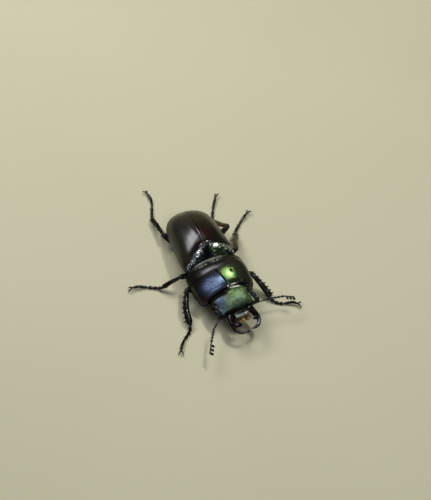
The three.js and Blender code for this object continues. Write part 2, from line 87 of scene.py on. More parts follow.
# How the three parts of the body stand, in degrees, and where each starts, in mm from the waist.
stances = {
    "hind": {"tilt": -7, "lean": 0, "turn": -4.6, "start": (0, 0, 0)},
    "fore": {"tilt": 9, "lean": -4, "turn": 1.5, "start": (0, 0, 0)},
    "face": {"tilt": 5, "lean": -3.5, "turn": 4.2, "start": (0, -5.43, -0.14)},
    "level": {"tilt": 0, "lean": 0, "turn": 0, "start": (0, 0, 0)},
}
collar = {"forward": 0.12, "foot": 0.2}  # how the collar's box stands to the waist itself
waist = Vector((middle("waist").x, middle("waist").y + collar["forward"] * mm,
                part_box("waist")[0].z + collar["foot"] * mm))


def turned(stance):
    tilt, lean, turn = (math.radians(stances[stance][key]) for key in ("tilt", "lean", "turn"))
    return Matrix.Rotation(turn, 3, "Z") @ Matrix.Rotation(tilt, 3, "X") @ Matrix.Rotation(lean, 3, "Y")


def start(stance):
    return waist + Vector(stances[stance]["start"]) * mm


# A place given in mm along a body part's own directions, and the way back.
def onBody(stance, *place):
    return start(stance) + turned(stance) @ (Vector(place) * mm)


def inBody(stance):
    inward = turned(stance).inverted()
    origin = start(stance)
    return lambda place: inward @ (place - origin) / mm


# Numbers that rise and fall smoothly.
def ramp(value, low, high):
    share = min(1, max(0, (value - low) / (high - low)))
    return share * share * (3 - 2 * share)


def hump(value, centre, half):
    share = min(1, abs(value - centre) / half)
    return (1 - share * share) ** 2


def along(knots, t):
    for (t0, v0), (t1, v1) in zip(knots, knots[1:]):
        if t <= t1:
            return v0 + (v1 - v0) * max(0, (t - t0) / (t1 - t0))
    return knots[-1][1]


# Points at even steps along a smooth curve through a few places.
def smoothLine(places, count):
    places = [Vector(p) for p in places]
    padded = [2 * places[0] - places[1]] + places + [2 * places[-1] - places[-2]]
    line = []
    for i in range(count):
        t = i / (count - 1) * (len(places) - 1)
        k = min(int(t), len(places) - 2)
        s = t - k
        p0, p1, p2, p3 = padded[k:k + 4]
        line.append(0.5 * (2 * p1 + (p2 - p0) * s + (2 * p0 - 5 * p1 + 4 * p2 - p3) * s ** 2
                           + (3 * p1 - p0 - 3 * p2 + p3) * s ** 3))
    return line


# A closed limb: an ellipse is extruded from place to place. Half sizes are in metres.
def sweep(bm, line, wide, thick, sides=10, top=up):
    frames = []
    for i, place in enumerate(line):
        ahead = (line[min(i + 1, len(line) - 1)] - line[max(i - 1, 0)]).normalized()
        side = ahead.cross(top).normalized()
        stand = Matrix((side, side.cross(ahead), ahead)).transposed().to_4x4()
        frames.append(Matrix.Translation(place) @ stand @ Matrix.Diagonal((wide[i], thick[i], 1, 1)))
    ring = bmesh.ops.create_circle(bm, cap_ends=True, segments=sides, radius=1, matrix=frames[0])["verts"]
    edges = list({e for v in ring for e in v.link_edges})
    for before, after in zip(frames, frames[1:]):
        grown = bmesh.ops.extrude_edge_only(bm, edges=edges)["geom"]
        ring = [g for g in grown if isinstance(g, bmesh.types.BMVert)]
        edges = [g for g in grown if isinstance(g, bmesh.types.BMEdge) and g.is_boundary]
        bmesh.ops.transform(bm, matrix=after @ before.inverted(), verts=ring)
    bmesh.ops.contextual_create(bm, geom=edges)


# Moves the points of a limb a little at random, so that it is as uneven as a real one.
def unsettle(bm, amount):
    for v in bm.verts:
        v.co += noise.noise_vector(v.co / (0.22 * mm)) * amount * mm


# Keeps a piece's points above the floor, so that a foot stands on small flats.
def settle(bm):
    for v in bm.verts:
        v.co.z = max(v.co.z, lowest["piece"] * mm)


# A short curved spine or tooth, standing on a surface and bending towards a direction.
def spine(bm, root, direction, towards, length, half, sides=6):
    line = []
    for share in (-0.25, 0.2, 0.6, 0.88, 1.0):
        line.append(root + direction * length * share + towards * length * 0.45 * share * abs(share))
    sizes = [half, half, half * 0.62, half * 0.3, half * 0.1]
    sweep(bm, line, sizes, sizes, sides, up if abs(direction.z) < 0.8 else Vector((0, 1, 0)))


def link(name, mesh):
    thing = bpy.data.objects.new(name, mesh)
    bpy.context.scene.collection.objects.link(thing)
    return thing


def subdivide(thing, levels):
    smooth = thing.modifiers.new("smooth", "SUBSURF")
    smooth.levels = levels
    smooth.render_levels = levels


def makePiece(name, bm, material, nodes, levels=2):
    settle(bm)
    bmesh.ops.recalc_face_normals(bm, faces=bm.faces)
    mesh = bpy.data.meshes.new(name)
    bm.to_mesh(mesh)
    bm.free()
    mesh.shade_smooth()
    mesh.materials.append(material)
    piece = link(name, mesh)
    if levels:
        subdivide(piece, levels)
    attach(piece, "root")
    if nodes:
        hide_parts(*nodes)


# A smooth, fine copy of a coarse mesh, whose points can then be moved.
def refined(bm, levels):
    mesh = bpy.data.meshes.new("draft")
    bm.to_mesh(mesh)
    bm.free()
    draft = link("draft", mesh)
    subdivide(draft, levels)
    fine = bmesh.new()
    fine.from_object(draft, bpy.context.evaluated_depsgraph_get())
    bpy.data.objects.remove(draft)
    bpy.data.meshes.remove(mesh)
    return fine


# Raises a fine surface along its normals, by a height in mm that depends on the place in mm.
def carve(bm, stance, height):
    bm.normal_update()
    local = inBody(stance)
    lifts = [height(local(v.co)) * mm for v in bm.verts]
    for v, lift in zip(bm.verts, lifts):
        v.co += v.normal * lift


# Materials.
def put(tree, kind, inputs=None, **settings):
    node = tree.nodes.new(kind)
    for key, value in settings.items():
        setattr(node, key, value)
    for key, value in (inputs or {}).items():
        if isinstance(value, bpy.types.NodeSocket):
            tree.links.new(value, node.inputs[key])
        else:
            node.inputs[key].default_value = value
    return node


def calc(tree, operation, first, second=0.0, third=0.0):
    return put(tree, "ShaderNodeMath", {0: first, 1: second, 2: third}, operation=operation).outputs[0]


def times(tree, *values):
    result = values[0]
    for value in values[1:]:
        result = calc(tree, "MULTIPLY", result, value)
    return result


# Rises smoothly from 0 to 1 as a value goes from low to high.
def rise(tree, value, low, high):
    inputs = {"Value": value, "From Min": low, "From Max": high}
    return put(tree, "ShaderNodeMapRange", inputs, interpolation_type="SMOOTHSTEP").outputs["Result"]


# 1 where a value is between two edges, with soft sides.
def band(tree, value, low, high, soft):
    return times(tree, rise(tree, value, low - soft, low), rise(tree, value, high + soft, high))


def blend(tree, share, first, second):
    node = put(tree, "ShaderNodeMix", {"Factor": share}, data_type="RGBA")
    for socket, value in ((node.inputs[6], first), (node.inputs[7], second)):
        if isinstance(value, bpy.types.NodeSocket):
            tree.links.new(value, socket)
        else:
            socket.default_value = (*value, 1)
    return node.outputs[2]


# Object coordinates in mm along a body part's own directions, whole and split.
def bodySpace(tree, stance):
    place = put(tree, "ShaderNodeTexCoord").outputs["Object"]
    inputs = {"Vector": place, "Location": start(stance), "Rotation": turned(stance).to_euler(),
              "Scale": (mm, mm, mm)}
    space = put(tree, "ShaderNodeMapping", inputs, vector_type="TEXTURE").outputs["Vector"]
    split = put(tree, "ShaderNodeSeparateXYZ", {"Vector": space}).outputs
    return space, split["X"], split["Y"], split["Z"]


def grain(tree, space, size, detail=2.0, distort=0.0):
    inputs = {"Vector": space, "Scale": 1 / size, "Detail": detail, "Distortion": distort}
    return put(tree, "ShaderNodeTexNoise", inputs).outputs["Fac"]


# Small round pits on a surface, 1 between them and 0 at their floors.
def pits(tree, space, spacing, radius):
    inputs = {"Vector": space, "Scale": 1 / spacing}
    distance = put(tree, "ShaderNodeTexVoronoi", inputs).outputs["Distance"]
    return rise(tree, distance, 0.0, radius / spacing)


# 1 within an oval patch and 0 outside, with a ragged soft edge.
def patch(tree, space, x, y, centre, half, soft, ragged=0.35):
    across = calc(tree, "DIVIDE", calc(tree, "SUBTRACT", x, centre[0]), half[0])
    back = calc(tree, "DIVIDE", calc(tree, "SUBTRACT", y, centre[1]), half[1])
    far = calc(tree, "SQRT", calc(tree, "ADD", times(tree, across, across), times(tree, back, back)))
    uneven = calc(tree, "MULTIPLY_ADD", grain(tree, space, 0.7, 4.0), ragged, -ragged / 2)
    return rise(tree, calc(tree, "ADD", far, uneven), 1 + soft / 2, 1 - soft / 2)


def roughen(tree, surface, height):
    inputs = {"Height": height, "Distance": mm, "Strength": 1.0}
    normal = put(tree, "ShaderNodeBump", inputs).outputs["Normal"]
    tree.links.new(normal, surface.inputs["Normal"])


def shell(name, roughness=0.3, specular=0.5, coat=0.0, coatRoughness=0.1):
    material = bpy.data.materials.new(name)
    material.use_nodes = True
    surface = material.node_tree.nodes["Principled BSDF"]
    surface.inputs["Roughness"].default_value = roughness
    surface.inputs["Specular IOR Level"].default_value = specular
    surface.inputs["Coat Weight"].default_value = coat
    surface.inputs["Coat Roughness"].default_value = coatRoughness
    return material, material.node_tree, surface


# The pale and green flecks at the base are painted glints, a painted highlight spot and a painted green
# reflection, laid on as metallic colour.
wingCase = {
    "dark": (0.0085, 0.0062, 0.0052), "red": (0.02, 0.0085, 0.0065), "olive": (0.046, 0.038, 0.017),
    "base": (0.004, 0.005, 0.006), "baseGreen": (0.08, 0.13, 0.05), "glintFlecks": (0.85, 0.93, 1.0),
    "paleGreen": (0.8, 0.9, 0.7), "smooth": 0.14, "sideRoughness": 0.3, "baseRoughness": 0.15,
    "gloss": 0.46, "dulled": 0.36,
}
# The ridge across the base of the wing cases: how far it lies behind the waist at the seam, in mm, and
# how fast it runs forward to each side. It is steeper on the right.
wingRidge = {"at": 1.75, "left": 0.2, "right": 0.47}


# Brown-black, redder beside the seam and olive to the rear and the sides, glossier near the seam, with pale
# metallic flecks along the ridge and a pale spot that are painted glints and a painted highlight, and green
# flecks before it on the left that are a painted green reflection.
def wingCaseFinish():
    look = wingCase
    material, tree, surface = shell("wing case brown", look["smooth"])
    space, x, back = bodySpace(tree, "hind")[:3]
    across = calc(tree, "ABSOLUTE", x)
    patchy = calc(tree, "MULTIPLY_ADD", grain(tree, space, 2.6, 3.0, 0.4), 0.8, 0.5)
    rear = times(tree, rise(tree, calc(tree, "MULTIPLY_ADD", x, 0.5, back), 5.0, 10.5), patchy, 0.95)
    edge = times(tree, rise(tree, across, 2.0, 4.3), patchy, 0.35)
    seamSide = times(tree, rise(tree, across, 2.4, 0.4), rise(tree, back, 8.5, 4.0),
                     rise(tree, back, 2.2, 3.6))
    colour = blend(tree, seamSide, look["dark"], look["red"])
    colour = blend(tree, calc(tree, "MAXIMUM", rear, edge), colour, look["olive"])
    left = rise(tree, x, -0.2, 0.2)
    steep = calc(tree, "MULTIPLY_ADD", left, wingRidge["left"] - wingRidge["right"], wingRidge["right"])
    behind = calc(tree, "SUBTRACT", calc(tree, "MULTIPLY_ADD", across, steep, back), wingRidge["at"])
    base = rise(tree, behind, 0.45, 0.3)
    colour = blend(tree, base, colour, look["base"])
    # Pale metallic flecks along the ridge on the right: painted glints.
    glintMottle = rise(tree, grain(tree, space, 0.22, 4.0), 0.46, 0.56)
    clumps = calc(tree, "MULTIPLY_ADD", rise(tree, grain(tree, space, 0.9, 2.0), 0.38, 0.54), 0.6, 0.4)
    glintFlecks = times(tree, glintMottle, clumps, band(tree, behind, -0.3, 0.12, 0.15),
                  band(tree, x, -3.7, -1.3, 0.5))
    colour = blend(tree, glintFlecks, colour, look["glintFlecks"])
    # A pale spot beside the scutellum and pale flecks along the ridge on the left: a painted highlight and
    # painted glints.
    spot = times(tree, band(tree, x, 1.1, 1.6, 0.25), band(tree, behind, -0.15, 0.2, 0.15))
    whiteSpotGlint = times(tree, calc(tree, "MAXIMUM", glintMottle, spot),
                    calc(tree, "MAXIMUM", clumps, band(tree, x, 0.3, 1.6, 0.3)),
                    band(tree, behind, -0.25, 0.3, 0.15), rise(tree, x, 0.3, 0.8))
    colour = blend(tree, whiteSpotGlint, colour, look["paleGreen"])
    # Green flecks before the ridge on the left: a painted green reflection.
    greenReflectionMottle = rise(tree, grain(tree, space, 0.3, 4.0), 0.42, 0.56)
    greenReflection = times(tree, greenReflectionMottle, band(tree, behind, -1.3, -0.4, 0.2),
                      band(tree, x, 0.8, 2.8, 0.5))
    colour = blend(tree, greenReflection, colour, look["baseGreen"])
    tree.links.new(colour, surface.inputs["Base Color"])
    metal = calc(tree, "MAXIMUM", calc(tree, "MAXIMUM", glintFlecks, whiteSpotGlint), greenReflection)
    tree.links.new(times(tree, metal, 0.9), surface.inputs["Metallic"])
    # Less gloss in a patch behind the ridge on the right, along the sides, beside the seam and at the base.
    lower = calc(tree, "MULTIPLY_ADD", x, -0.855, back)
    dull = times(tree, rise(tree, lower, 4.6, 4.0), rise(tree, behind, 0.3, 0.5),
                 rise(tree, x, -0.05, -0.3), rise(tree, x, -4.0, -2.8))
    dull = calc(tree, "MAXIMUM", dull, times(tree, rise(tree, across, 2.6, 4.2), 0.6))
    seam = times(tree, band(tree, x, 0.02, 0.8, 0.2), rise(tree, behind, 0.5, 1.0), 0.8)
    dull = calc(tree, "MAXIMUM", dull, seam)
    dull = calc(tree, "MAXIMUM", dull, times(tree, base, 0.85))
    glossy = calc(tree, "MULTIPLY_ADD", dull, -look["dulled"], look["gloss"])
    tree.links.new(glossy, surface.inputs["Specular IOR Level"])
    away = calc(tree, "MAXIMUM", rise(tree, across, 1.2, 3.6), rise(tree, back, 5.5, 10.0))
    gloss = calc(tree, "MULTIPLY_ADD", away, look["sideRoughness"] - look["smooth"], look["smooth"])
    gloss = calc(tree, "MULTIPLY_ADD", base, look["baseRoughness"] - look["smooth"], gloss)
    tree.links.new(gloss, surface.inputs["Roughness"])
    small = calc(tree, "SUBTRACT", 1.0, pits(tree, space, 0.3, 0.05))
    height = times(tree, small, -0.004)
    dents = calc(tree, "SUBTRACT", 1.0, pits(tree, space, 0.3, 0.14))
    roughen(tree, surface, calc(tree, "MULTIPLY_ADD", times(tree, dents, base), -0.016, height))
    return material


# The blue and green are painted reflections of coloured light, laid on as metallic colour.
colourAndReflection = {
    "black": (0.0075, 0.0068, 0.006), "olive": (0.02, 0.019, 0.011), "rim": (0.20, 0.23, 0.15),
    "rust": (0.03, 0.014, 0.012), "blue": (0.37, 0.49, 0.78), "deepBlue": (0.055, 0.08, 0.18),
    "green": (0.05, 0.084, 0.027), "darkGreen": (0.016, 0.028, 0.01), "metal": 0.9,
    "roughness": 0.2, "gloss": 0.42, "dulled": 0.4,
}


def finePits(tree, space, depth):
    height = times(tree, pits(tree, space, 0.16, 0.05), depth)
    return calc(tree, "MULTIPLY_ADD", grain(tree, space, 0.07, 2.0), depth, height)


# Black, with a blue patch on the right and a green one on the left, both painted reflections of coloured
# light laid on as metallic colour, the green paler towards the middle where a highlight is painted, and a
# slanting dark strip between them.
def pronotumFinish():
    look = colourAndReflection
    material, tree, surface = shell("pronotum lustre", look["roughness"])
    space, x, y = bodySpace(tree, "fore")[:3]
    dapple = grain(tree, space, 0.14, 3.0)
    patchy = calc(tree, "MULTIPLY_ADD", grain(tree, space, 1.2, 3.0), 0.8, 0.4)
    olive = times(tree, rise(tree, x, -0.5, 3.0), patchy)
    colour = blend(tree, olive, look["black"], look["olive"])
    corner = times(tree, rise(tree, x, -3.2, -4.3), rise(tree, y, -4.6, -5.8))
    colour = blend(tree, corner, colour, look["rust"])
    edge = calc(tree, "MULTIPLY_ADD", y, 0.26, x)  # the dark strip slants outwards towards the front
    # The blue patch is a painted reflection of coloured light, laid on as metallic colour, darker blue
    # towards the front edge.
    blueShare = times(tree, patch(tree, space, x, y, (-1.75, -4.05), (1.75, 1.12), 1.2, 0.45),
                      rise(tree, edge, -1.0, -1.25))
    bright = times(tree, rise(tree, dapple, 0.3, 0.6), rise(tree, blueShare, 0.3, 1.0),
                   rise(tree, y, -5.2, -4.2))
    blue = blend(tree, bright, look["deepBlue"], look["blue"])
    colour = blend(tree, blueShare, colour, blue)
    # The green patch is a painted reflection of coloured light, laid on as metallic colour; its paler inner
    # part is a painted highlight.
    greenShare = times(tree, patch(tree, space, x, y, (1.25, -3.5), (1.6, 1.5), 0.5, 0.4),
                       rise(tree, edge, -0.98, -0.8))
    strip = times(tree, band(tree, edge, -1.15, -0.9, 0.15), band(tree, y, -4.3, -2.2, 0.3))
    # Less gloss in the strip, at the hind right corner and along the hind edge.
    hindCorner = times(tree, rise(tree, x, -1.5, -3.0), rise(tree, y, -3.0, -2.3), 0.95)
    dull = calc(tree, "MAXIMUM", strip, hindCorner)
    dull = calc(tree, "MAXIMUM", dull, times(tree, rise(tree, y, -1.5, -1.1), 0.9))
    glossy = calc(tree, "MULTIPLY_ADD", dull, -look["dulled"], look["gloss"])
    tree.links.new(glossy, surface.inputs["Specular IOR Level"])
    specks = calc(tree, "MAXIMUM", rise(tree, grain(tree, space, 0.33, 4.0), 0.36, 0.52),
                  rise(tree, x, 1.75, 1.35))
    green = blend(tree, specks, look["darkGreen"], look["green"])
    colour = blend(tree, greenShare, colour, green)
    hind = times(tree, band(tree, y, -0.52, -0.3, 0.1), band(tree, x, -2.2, 1.0, 0.9),
                 rise(tree, grain(tree, space, 0.4, 3.0), 0.42, 0.6))
    colour = blend(tree, hind, colour, look["rim"])
    margin = put(tree, "ShaderNodeAttribute", attribute_name="margin").outputs["Fac"]
    bead = times(tree, rise(tree, margin, 0.24, 0.12), rise(tree, y, -3.5, -4.8))
    colour = blend(tree, bead, colour, look["black"])
    tree.links.new(colour, surface.inputs["Base Color"])
    metal = times(tree, calc(tree, "MAXIMUM", blueShare, greenShare), calc(tree, "SUBTRACT", 1.0, bead))
    tree.links.new(times(tree, metal, look["metal"]), surface.inputs["Metallic"])
    uneven = calc(tree, "MULTIPLY_ADD", dapple, 0.08, look["roughness"])
    uneven = calc(tree, "MULTIPLY_ADD", bead, -0.15, uneven)
    tree.links.new(calc(tree, "MULTIPLY_ADD", metal, -0.02, uneven), surface.inputs["Roughness"])
    roughen(tree, surface, finePits(tree, space, 0.0025))
    return material


# The blue, green and sea green are painted reflections of coloured light, and the pale is a painted
# highlight.
headColours = {
    "blue": (0.20, 0.27, 0.42), "deepBlue": (0.07, 0.10, 0.17), "green": (0.10, 0.16, 0.048),
    "darkGreen": (0.045, 0.07, 0.028), "sea": (0.07, 0.108, 0.09), "pale": (0.92, 1.0, 0.74),
    "black": (0.006, 0.006, 0.005), "metal": 0.9, "roughness": 0.42, "edgeRoughness": 0.07,
    "rimRoughness": 0.2, "gloss": 0.5, "shieldShadowDulled": 0.22, "darkDulled": 0.25,
}


# Blue to one side and green to the other, sea green before them, all painted reflections laid on as metallic
# colour, with pale painted highlights at the hind edge and beside the left side, black at the front and the
# sides.
def headFinish():
    look = headColours
    material, tree, surface = shell("head lustre", look["roughness"])
    space, x, y, z = bodySpace(tree, "face")
    dapple = rise(tree, grain(tree, space, 0.26, 5.0), 0.38, 0.62)
    # Blue and green here, and the sea green below, are painted reflections of coloured light, laid on as
    # metallic colour.
    blue = blend(tree, dapple, look["deepBlue"], look["blue"])
    green = blend(tree, dapple, look["darkGreen"], look["green"])
    slant = calc(tree, "MULTIPLY_ADD", y, -0.5, x)  # the blue side's edge leans outwards towards the front
    drift = calc(tree, "MULTIPLY_ADD", grain(tree, space, 0.8, 3.0), 1.0, slant)
    colour = blend(tree, rise(tree, drift, -0.9, 0.7), blue, green)
    front = times(tree, rise(tree, y, -0.7, -2.5), rise(tree, x, 3.0, 1.0),
                  rise(tree, x, -3.4, -2.2), 0.9)
    colour = blend(tree, times(tree, front, dapple), colour, look["sea"])
    slope = calc(tree, "MULTIPLY_ADD", x, 0.3, y)
    # A pale patch at the hind edge, right of the middle: a painted highlight.
    pale = patch(tree, space, x, slope, (1.2, 0.16), (0.85, 0.4), 0.8, 0.5)
    # A pale line along the inner edge of the black band on the left side: a painted highlight.
    outer = calc(tree, "MULTIPLY_ADD", y, 0.18, x)
    rim = times(tree, band(tree, outer, 1.96, 2.12, 0.05), rise(tree, y, -2.3, -2.6), dapple)
    paintedHighlights = calc(tree, "MAXIMUM", pale, rim)
    colour = blend(tree, paintedHighlights, colour, look["pale"])
    ragged = calc(tree, "MULTIPLY_ADD", grain(tree, space, 0.4, 3.0), 0.4, -0.2)
    # Black ends: both sides, the front, a painted shadow under the shield's front edge at the hind right, and
    # the hind left corner.
    leftEnd = calc(tree, "MULTIPLY_ADD", y, 0.18, calc(tree, "ADD", x, ragged))
    ends = calc(tree, "MAXIMUM", rise(tree, leftEnd, 2.1, 2.22),
                rise(tree, calc(tree, "ADD", x, ragged), -2.75, -2.9))
    notch = band(tree, x, -2.1, -0.9, 0.6)
    brow = calc(tree, "MULTIPLY_ADD", notch, -0.2, calc(tree, "ADD", y, ragged))
    ends = calc(tree, "MAXIMUM", ends, rise(tree, brow, -3.62, -3.74))
    # Black at the hind right, under the shield's front edge: a painted shadow, with less gloss there too.
    shieldShadow = times(tree, rise(tree, y, -1.5, -1.05), rise(tree, x, 0.1, -0.7))
    ends = calc(tree, "MAXIMUM", ends, shieldShadow)
    corner = calc(tree, "MULTIPLY_ADD", x, 0.85, calc(tree, "ADD", y, ragged))
    ends = calc(tree, "MAXIMUM", ends, rise(tree, corner, 0.95, 1.1))
    sides = rise(tree, z, 0.15, -0.1)
    dark = calc(tree, "MAXIMUM", ends, sides)
    colour = blend(tree, dark, colour, look["black"])
    tree.links.new(colour, surface.inputs["Base Color"])
    plain = calc(tree, "MAXIMUM", dark, pale)
    tree.links.new(times(tree, calc(tree, "SUBTRACT", 1.0, plain), look["metal"]), surface.inputs["Metallic"])
    gloss = calc(tree, "MULTIPLY_ADD", dark, look["edgeRoughness"] - look["roughness"], look["roughness"])
    gloss = calc(tree, "MULTIPLY_ADD", pale, look["rimRoughness"] - look["roughness"], gloss)
    tree.links.new(gloss, surface.inputs["Roughness"])
    matt = calc(tree, "MAXIMUM", shieldShadow, times(tree, sides, 0.7))
    matt = calc(tree, "MULTIPLY_ADD", matt, -look["shieldShadowDulled"], look["gloss"])
    glossy = calc(tree, "MULTIPLY_ADD", dark, -look["darkDulled"], matt)
    tree.links.new(glossy, surface.inputs["Specular IOR Level"])
    roughen(tree, surface, finePits(tree, space, 0.006))
    return material


def plainShell(name, dark, light, roughness, coat=0.0, pitted=0.0, size=0.5, specular=0.5):
    material, tree, surface = shell(name, roughness, specular, coat, 0.08)
    space = bodySpace(tree, "level")[0]
    shade = rise(tree, grain(tree, space, size, 3.0), 0.35, 0.7)
    tree.links.new(blend(tree, shade, dark, light), surface.inputs["Base Color"])
    uneven = calc(tree, "MULTIPLY_ADD", grain(tree, space, 0.3), roughness, roughness / 2)
    tree.links.new(uneven, surface.inputs["Roughness"])
    height = times(tree, grain(tree, space, 0.08, 2.0), 0.005)
    if pitted:
        height = calc(tree, "MULTIPLY_ADD", pits(tree, space, 0.22, 0.08), pitted, height)
    roughen(tree, surface, height)
    return material


jawColours = {"dark": (0.003, 0.0025, 0.003), "light": (0.013, 0.008, 0.009), "roughness": 0.06,
              "gloss": 0.16, "tipGloss": 0.32}


# Jaws shine more towards their tips.
def jawFinish():
    look = jawColours
    material = plainShell("jaw black", look["dark"], look["light"], look["roughness"])
    tree = material.node_tree
    y = bodySpace(tree, "face")[2]
    shine = calc(tree, "MULTIPLY_ADD", rise(tree, y, -6.3, -7.0), look["tipGloss"], look["gloss"])
    tree.links.new(shine, tree.nodes["Principled BSDF"].inputs["Specular IOR Level"])
    return material


lipColours = {
    "dark": (0.02, 0.04, 0.034), "light": (0.13, 0.17, 0.105), "edge": (0.19, 0.24, 0.165),
    "black": (0.006, 0.006, 0.005), "roughness": 0.2, "gloss": 0.6, "shadeUnderHeadDulled": 0.5,
}


# Pale green, with a paler front edge that is a painted highlight, and black behind and at the sides, painted
# shade where it comes out from under the head.
def lipFinish():
    look = lipColours
    material, tree, surface = shell("lip pale green", look["roughness"])
    space, x, y = bodySpace(tree, "face")[:3]
    dapple = rise(tree, grain(tree, space, 0.3, 3.0), 0.35, 0.7)
    shade = blend(tree, dapple, look["dark"], look["light"])
    drift = grain(tree, space, 0.4, 3.0)
    ragged = calc(tree, "MULTIPLY_ADD", drift, 0.2, calc(tree, "MULTIPLY_ADD", x, 0.2, y))
    # A paler front edge: a painted highlight.
    shade = blend(tree, times(tree, rise(tree, ragged, -4.72, -4.8), 0.6), shade, look["edge"])
    # Black behind, where the lip comes out from under the head, and at its sides by the jaws: painted shade.
    shadeUnderHead = calc(tree, "MAXIMUM", rise(tree, ragged, -4.58, -4.46),
                  rise(tree, calc(tree, "ABSOLUTE", x), 1.1, 1.2))
    colour = blend(tree, shadeUnderHead, shade, look["black"])
    tree.links.new(colour, surface.inputs["Base Color"])
    glossy = calc(tree, "MULTIPLY_ADD", shadeUnderHead, -look["shadeUnderHeadDulled"], look["gloss"])
    tree.links.new(glossy, surface.inputs["Specular IOR Level"])
    roughen(tree, surface, finePits(tree, space, 0.006))
    return material


def eyeFinish():
    material, tree, surface = shell("eye black", 0.1, 0.35)
    surface.inputs["Base Color"].default_value = (0.004, 0.004, 0.006, 1)
    space = bodySpace(tree, "face")[0]
    facets = put(tree, "ShaderNodeTexVoronoi", {"Vector": space, "Scale": 1 / 0.05}).outputs["Distance"]
    roughen(tree, surface, times(tree, facets, -0.004))
    return material


wingBrown = wingCaseFinish()
pronotumLook = pronotumFinish()
headLook = headFinish()
collarLook = plainShell("collar grey", (0.02, 0.02, 0.016), (0.14, 0.15, 0.11), 0.4, pitted=0.01, size=0.3)
underLook = plainShell("underside black", (0.011, 0.009, 0.007), (0.03, 0.022, 0.014), 0.34, pitted=0.018)
legLook = plainShell("leg black", (0.003, 0.0025, 0.002), (0.008, 0.006, 0.004), 0.08, pitted=0.05,
                     specular=0.24)
legBrown = plainShell("leg olive brown", (0.016, 0.011, 0.005), (0.085, 0.062, 0.022), 0.26,
                      pitted=0.014, size=0.9)
jawLook = jawFinish()
feelerLook = plainShell("feeler brown", (0.007, 0.006, 0.005), (0.02, 0.016, 0.013), 0.26, size=0.2,
                        specular=0.4)
clawLook = plainShell("claw black", (0.006, 0.005, 0.004), (0.022, 0.012, 0.007), 0.2, coat=0.2)
bristleLook = plainShell("bristle", (0.012, 0.009, 0.006), (0.05, 0.034, 0.018), 0.45)
brushLook = plainShell("mouth brush orange", (0.5, 0.24, 0.06), (0.85, 0.55, 0.22), 0.6)
lipLook = lipFinish()
eyeLook = eyeFinish()
print("materials made")


plateEdges = {"sharp": 50, "crease": 0.8, "joinedFaces": 40, "joinedShapes": 70}  # angles in degrees


def sharpEdges(bm):
    sharp = math.radians(plateEdges["sharp"])
    return [e for e in bm.edges if len(e.link_faces) == 2 and e.calc_face_angle() > sharp]


# Shell plates start as merged copies of the CAD plates, with their sharp edges kept crisp.
def plateFrom(node):
    bm = merged(node)
    bmesh.ops.join_triangles(bm, faces=bm.faces,
                             angle_face_threshold=math.radians(plateEdges["joinedFaces"]),
                             angle_shape_threshold=math.radians(plateEdges["joinedShapes"]))
    creases = bm.edges.layers.float.new("crease_edge")
    for edge in sharpEdges(bm):
        edge[creases] = plateEdges["crease"]
    return bm


# Distance in mm from a place on a body part to the sharp edges of its plate.
def marginOf(bm, stance, keep):
    local = inBody(stance)
    spots = []
    for edge in sharpEdges(bm):
        a, b = (local(v.co) for v in edge.verts)
        if keep((a + b) / 2):
            spots += [a.lerp(b, i / 8) for i in range(9)]
    tree = KDTree(len(spots))
    for i, spot in enumerate(spots):
        tree.insert(spot, i)
    tree.balance()
    return lambda place: tree.find(place)[2]


wingShape = {"seam": 0.01, "groove": 0.016, "rim": 0.05, "lumps": 0.075, "ridge": 0.1,
             "ridgeGroove": 0.05, "boss": 0.05}


def behindRidge(place):
    return place.y - wingRidge["at"] + wingRidge["left" if place.x > 0 else "right"] * abs(place.x)


# Fine grooves beside the seam, a bead along the outer rim, and a lumpy ridge across the base.
def wingRelief(place):
    across, back, z = abs(place.x), place.y, place.z
    spread = ramp(back, 4.5, 1.0) * 0.25  # the grooves part around the scutellum
    top = ramp(z, 0.2, 0.8)
    height = 0.02
    height += wingShape["seam"] * hump(across, 0.12 + 0.5 * spread, 0.12) * ramp(across, 0.03, 0.06)
    height -= wingShape["groove"] * hump(across, 0.28 + spread, 0.1) * ramp(back, 8.5, 5)
    behind = behindRidge(place)
    flatter = top * (1 - hump(place.x, 1.35, 0.95))  # the ridge is smooth and broad beside the scutellum
    crest = wingShape["ridge"] * hump(behind, 0, 0.45)
    height += flatter * (crest - wingShape["ridgeGroove"] * hump(behind, 0.6, 0.3))
    height += wingShape["boss"] * hump(math.hypot(place.x - 2.1, place.y - 1.45), 0, 0.9)
    uneven = noise.noise(place * 2.6) * 0.5 + 0.8 * noise.noise(place * 5.2)
    height += wingShape["lumps"] * uneven * ramp(behind, 0.4, 0.1) * flatter
    bead = hump(z, 0.02, 0.16) - 0.7 * hump(z, 0.33, 0.13)
    return height + wingShape["rim"] * bead * ramp(across, 0.5, 1.0)


shieldShape = {"bead": 0.05, "beadHalf": 0.16, "groove": 0.04, "grooveAt": 0.26, "pit": 0.12,
               "pits": ((1.82, -3.11), (2.5, -5.0)), "unevenness": 0.006, "hindSlope": 0.15, "strip": 0.03}


# A bead and a groove along the edge, a slope down to the hind edge, a slanting furrow and two pits.
def shieldRelief(place):
    far = shieldMargin(place)
    front = 0.3 + 0.7 * ramp(place.y, -3.5, -4.8)
    height = 0.02 + shieldShape["bead"] * hump(far, 0, shieldShape["beadHalf"]) * front
    height -= shieldShape["groove"] * hump(far, shieldShape["grooveAt"], 0.11) * front
    height += shieldShape["unevenness"] * noise.noise(place * 0.9)
    hind = ramp(place.y, -2.2, -0.9) * ramp(place.y, -0.1, -0.5)
    height -= shieldShape["hindSlope"] * hind * ramp(place.z, 0.4, 1.2)
    top = ramp(place.z, 0, 0.5)
    furrow = hump(place.x + 0.26 * place.y, -1.0, 0.2) * ramp(place.y, -1.2, -2.4)
    height -= shieldShape["strip"] * furrow * top
    for x, y in shieldShape["pits"]:
        height -= shieldShape["pit"] * hump(math.hypot(place.x - x, place.y - y), 0, 0.3) * top
    return height


